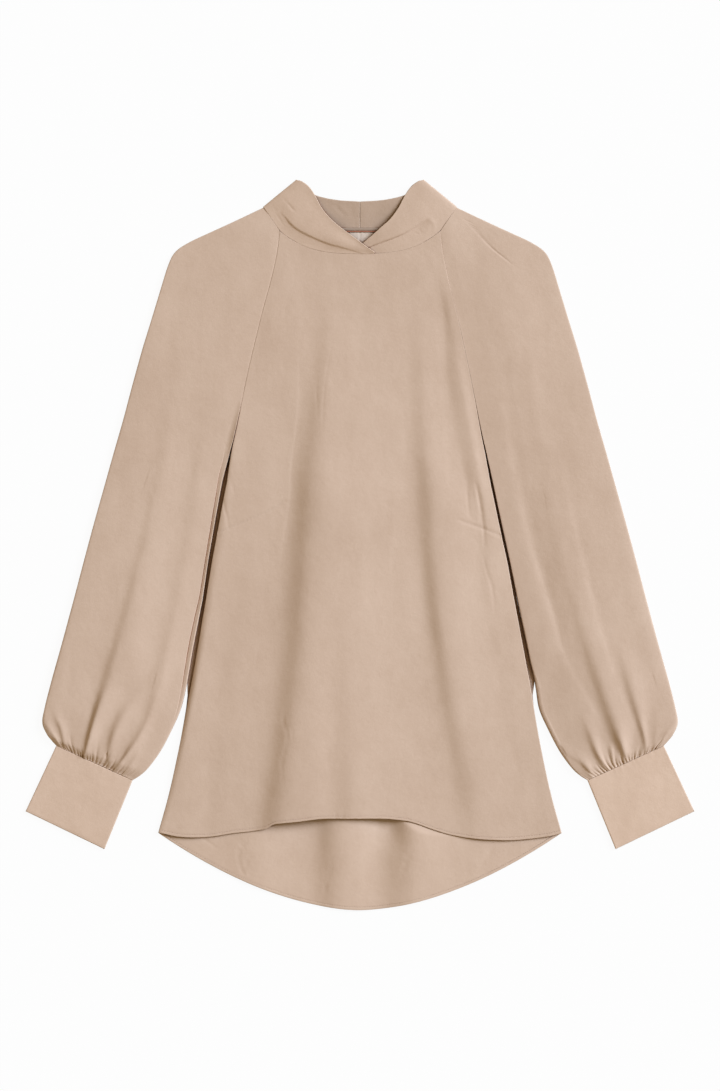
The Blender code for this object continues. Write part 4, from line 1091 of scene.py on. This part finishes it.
# Facing, with a fine seam down its middle, and the tape and rose binding over its top edge
FACING_HALF, FACING_DEEP, FACING_END, FACING_Z = 36.0, 21.0, 3.0, 2.4
FACING_TOP, TRIM_HALF = 3.4, 40.0  # how far below the neck seam it starts, and half the length of the trim
BINDING, TAPE = (3.6, 2.9, 0.6), (1.3, 2.2, 1.9)  # distance below the neck seam, height and radius
TAPE_SIDES, TAPE_FLAT = 12, 0.3
u = np.linspace(-1, 1, 61)
deep = FACING_END + (FACING_DEEP - FACING_END) * np.sqrt(np.maximum(0.0, 1.0 - u**2))
v = np.linspace(0, 1, 25)[:, None]
x = np.repeat((FACING_HALF * u)[None], len(v), 0)
y = back_neck(x) - FACING_TOP - deep[None] * v
z = FACING_Z + 0.12 * value_noise(x, y, 9.0, 14.0, 31) - 0.35 * bell(x / 0.8)
facing = sheet_mesh("facing", np.stack([x, y, z], -1), facing_cloth, FACING_CLOTH)


def tube(points, radius, sides, flat=1.0):
    """The points and faces of a closed tube along a line, flattened to a share of its height."""
    ahead = np.gradient(points, axis=0)
    ahead /= np.linalg.norm(ahead, axis=1, keepdims=True)
    over = np.cross(ahead, np.array([0.0, 0.0, 1.0]))
    over /= np.linalg.norm(over, axis=1, keepdims=True)
    up = np.cross(over, ahead)
    turns = (2 * math.pi * np.arange(sides) / sides)[None, :, None]
    ring = points[:, None] + radius * (over[:, None] * np.cos(turns) + flat * up[:, None] * np.sin(turns))
    rows = len(points)
    quads = grid_faces(rows, sides, closed=True)[:, (0, 3, 2, 1)]
    faces = quads.tolist() + [list(range(sides))[::-1], list(range((rows - 1) * sides, rows * sides))]
    return ring.reshape(-1, 3), faces


def neck_trim(name, size, material, sides=8, flat=1.0):
    """A tube that follows the back neck seam."""
    below, z, radius = size
    x = np.linspace(-TRIM_HALF, TRIM_HALF, 60)
    points = np.stack([x, back_neck(x) - below, np.full_like(x, z)], 1)
    return add_mesh(name, *tube(points, radius, sides, flat), material)


binding = neck_trim("rose_binding", BINDING, rose)
# the tape's dark crepe is painted shade
seam_tape = neck_trim("neck_seam_allowance", TAPE, seam_tape_painted_shade_crepe, TAPE_SIDES, TAPE_FLAT)


# Hem stitches: short thread loops in one mesh for each hem
STITCH_PITCH, STITCH_LONG, STITCH_RADIUS = 2.7, 1.7, 0.16
STITCH_RISE, STITCH_CLEAR = 0.2, 0.02  # how far a stitch stands up at its middle and at its ends
STITCH_START = 6.0  # the distance from a side seam to the first stitch


def stitches(name, grid):
    """Stitches along the stitched line of a hem, on the row of the grid that follows it."""
    row = grid[-1 - HEM_ROWS.index(HEM_STITCH)]
    run = walked(row)
    verts, faces = [], []
    for start in np.arange(STITCH_START, run[-1] - STITCH_START, STITCH_PITCH):
        at = np.linspace(start, start + STITCH_LONG, 5)
        points = np.stack([np.interp(at, run, row[:, k]) for k in range(3)], 1)
        points[:, 2] += STITCH_RISE * np.sin(math.pi * np.linspace(0, 1, 5)) + STITCH_CLEAR
        ring, ring_faces = tube(points, STITCH_RADIUS, 6)
        faces += [[k + len(verts) for k in face] for face in ring_faces]
        verts += ring.tolist()
    return add_mesh(name, verts, faces, thread)


front_stitches = stitches("front_hem_stitches", front_grid)
back_stitches = stitches("back_hem_stitches", back_grid)

# Each piece rides on the root body and stands for a CAD part, which is hidden; the last column names its
# finish, which is not used
for piece, node, slot in (
    (front, "front_panel", "crepe"), (back, "back_panel", "crepe"),
    (left_sleeve, "sleeve_left", "crepe"), (right_sleeve, "sleeve_right", "crepe"),
    (left_cuff, "cuff_left", "crepe"), (right_cuff, "cuff_right", "crepe"),
    (left_collar, "collar_left", "crepe"), (right_collar, "collar_right", "crepe"),
    (facing, "neck_facing", "facing"),
    (seam_tape, None, "crepe"), (binding, None, "crepe"),
    (front_stitches, None, "crepe"), (back_stitches, None, "crepe"),
):
    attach(piece, "root")
    if node:
        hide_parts(node)

# Floor, backdrop, light and camera
FLOOR_DROP = 0.15
STAGE_REACH = 6000.0
STAGE_CORNERS = ((-1, -1), (1, -1), (1, 1), (-1, 1))
white = bpy.data.materials.new("white stage")
white.use_nodes = True
set_inputs(white.node_tree, white.node_tree.nodes["Principled BSDF"], {
    "Base Color": (0.03, 0.03, 0.03, 1.0), "Emission Color": (1.0, 1.0, 1.0, 1.0),
    "Emission Strength": 0.946, "Roughness": 0.9, "Specular IOR Level": 0.1,
})


def stage_mesh(name, levels, faces):
    """A white part of the studio, on the four corners of the stage at each level."""
    data = bpy.data.meshes.new(name)
    points = [(s * STAGE_REACH, t * STAGE_REACH, level) for level in levels for s, t in STAGE_CORNERS]
    data.from_pydata((np.array(points) * MM).tolist(), [], faces)
    data.materials.append(white)
    made = linked(name, data)
    return made


stage_mesh("floor", (-FLOOR_DROP,), [(0, 1, 2, 3)])
walls = [(i, (i + 1) % 4, (i + 1) % 4 + 4, i + 4) for i in range(4)]
backdrop = stage_mesh("backdrop", (-FLOOR_DROP, STAGE_REACH), walls + [(4, 5, 6, 7)])
backdrop.visible_diffuse = False  # the sky lights the blouse through the backdrop
backdrop.visible_glossy = False
backdrop.visible_transmission = False
backdrop.visible_shadow = False

SKY = 0.38
KEY_FROM, KEY_STRENGTH, KEY_SPREAD = (0.80, 0.42, 0.54), 4.56, math.radians(28.0)
SKY_COLOUR, KEY_COLOUR = (1.24, 0.98, 0.58), (0.874, 1.011, 1.211)
world = bpy.data.worlds.new("studio")
bpy.context.scene.world = world
world.use_nodes = True
set_inputs(world.node_tree, world.node_tree.nodes["Background"], {
    "Color": (*SKY_COLOUR, 1.0), "Strength": SKY,
})
lamp = bpy.data.lights.new("key", "SUN")
lamp.energy = KEY_STRENGTH
lamp.color = KEY_COLOUR
lamp.angle = KEY_SPREAD
key = linked("key", lamp)
key.location = KEY_FROM
key.rotation_euler = (-key.location).to_track_quat("-Z", "Y").to_euler()

CAMERA_HEIGHT, CAMERA_Y = 3.0, -0.0005
CLOTH_TOP = 0.004  # the height at which the photo's scale holds
PHOTO_TALL = 1.1674  # metres that the photo's height shows there
SENSOR = 36.0
camera_data = bpy.data.cameras.new("camera")
camera_data.sensor_width = SENSOR
camera_data.lens = SENSOR * (CAMERA_HEIGHT - CLOTH_TOP) / PHOTO_TALL
camera = linked("camera", camera_data)
camera.location = (0.0, CAMERA_Y, CAMERA_HEIGHT)
bpy.context.scene.camera = camera
bpy.context.scene.view_settings.view_transform = "Standard"
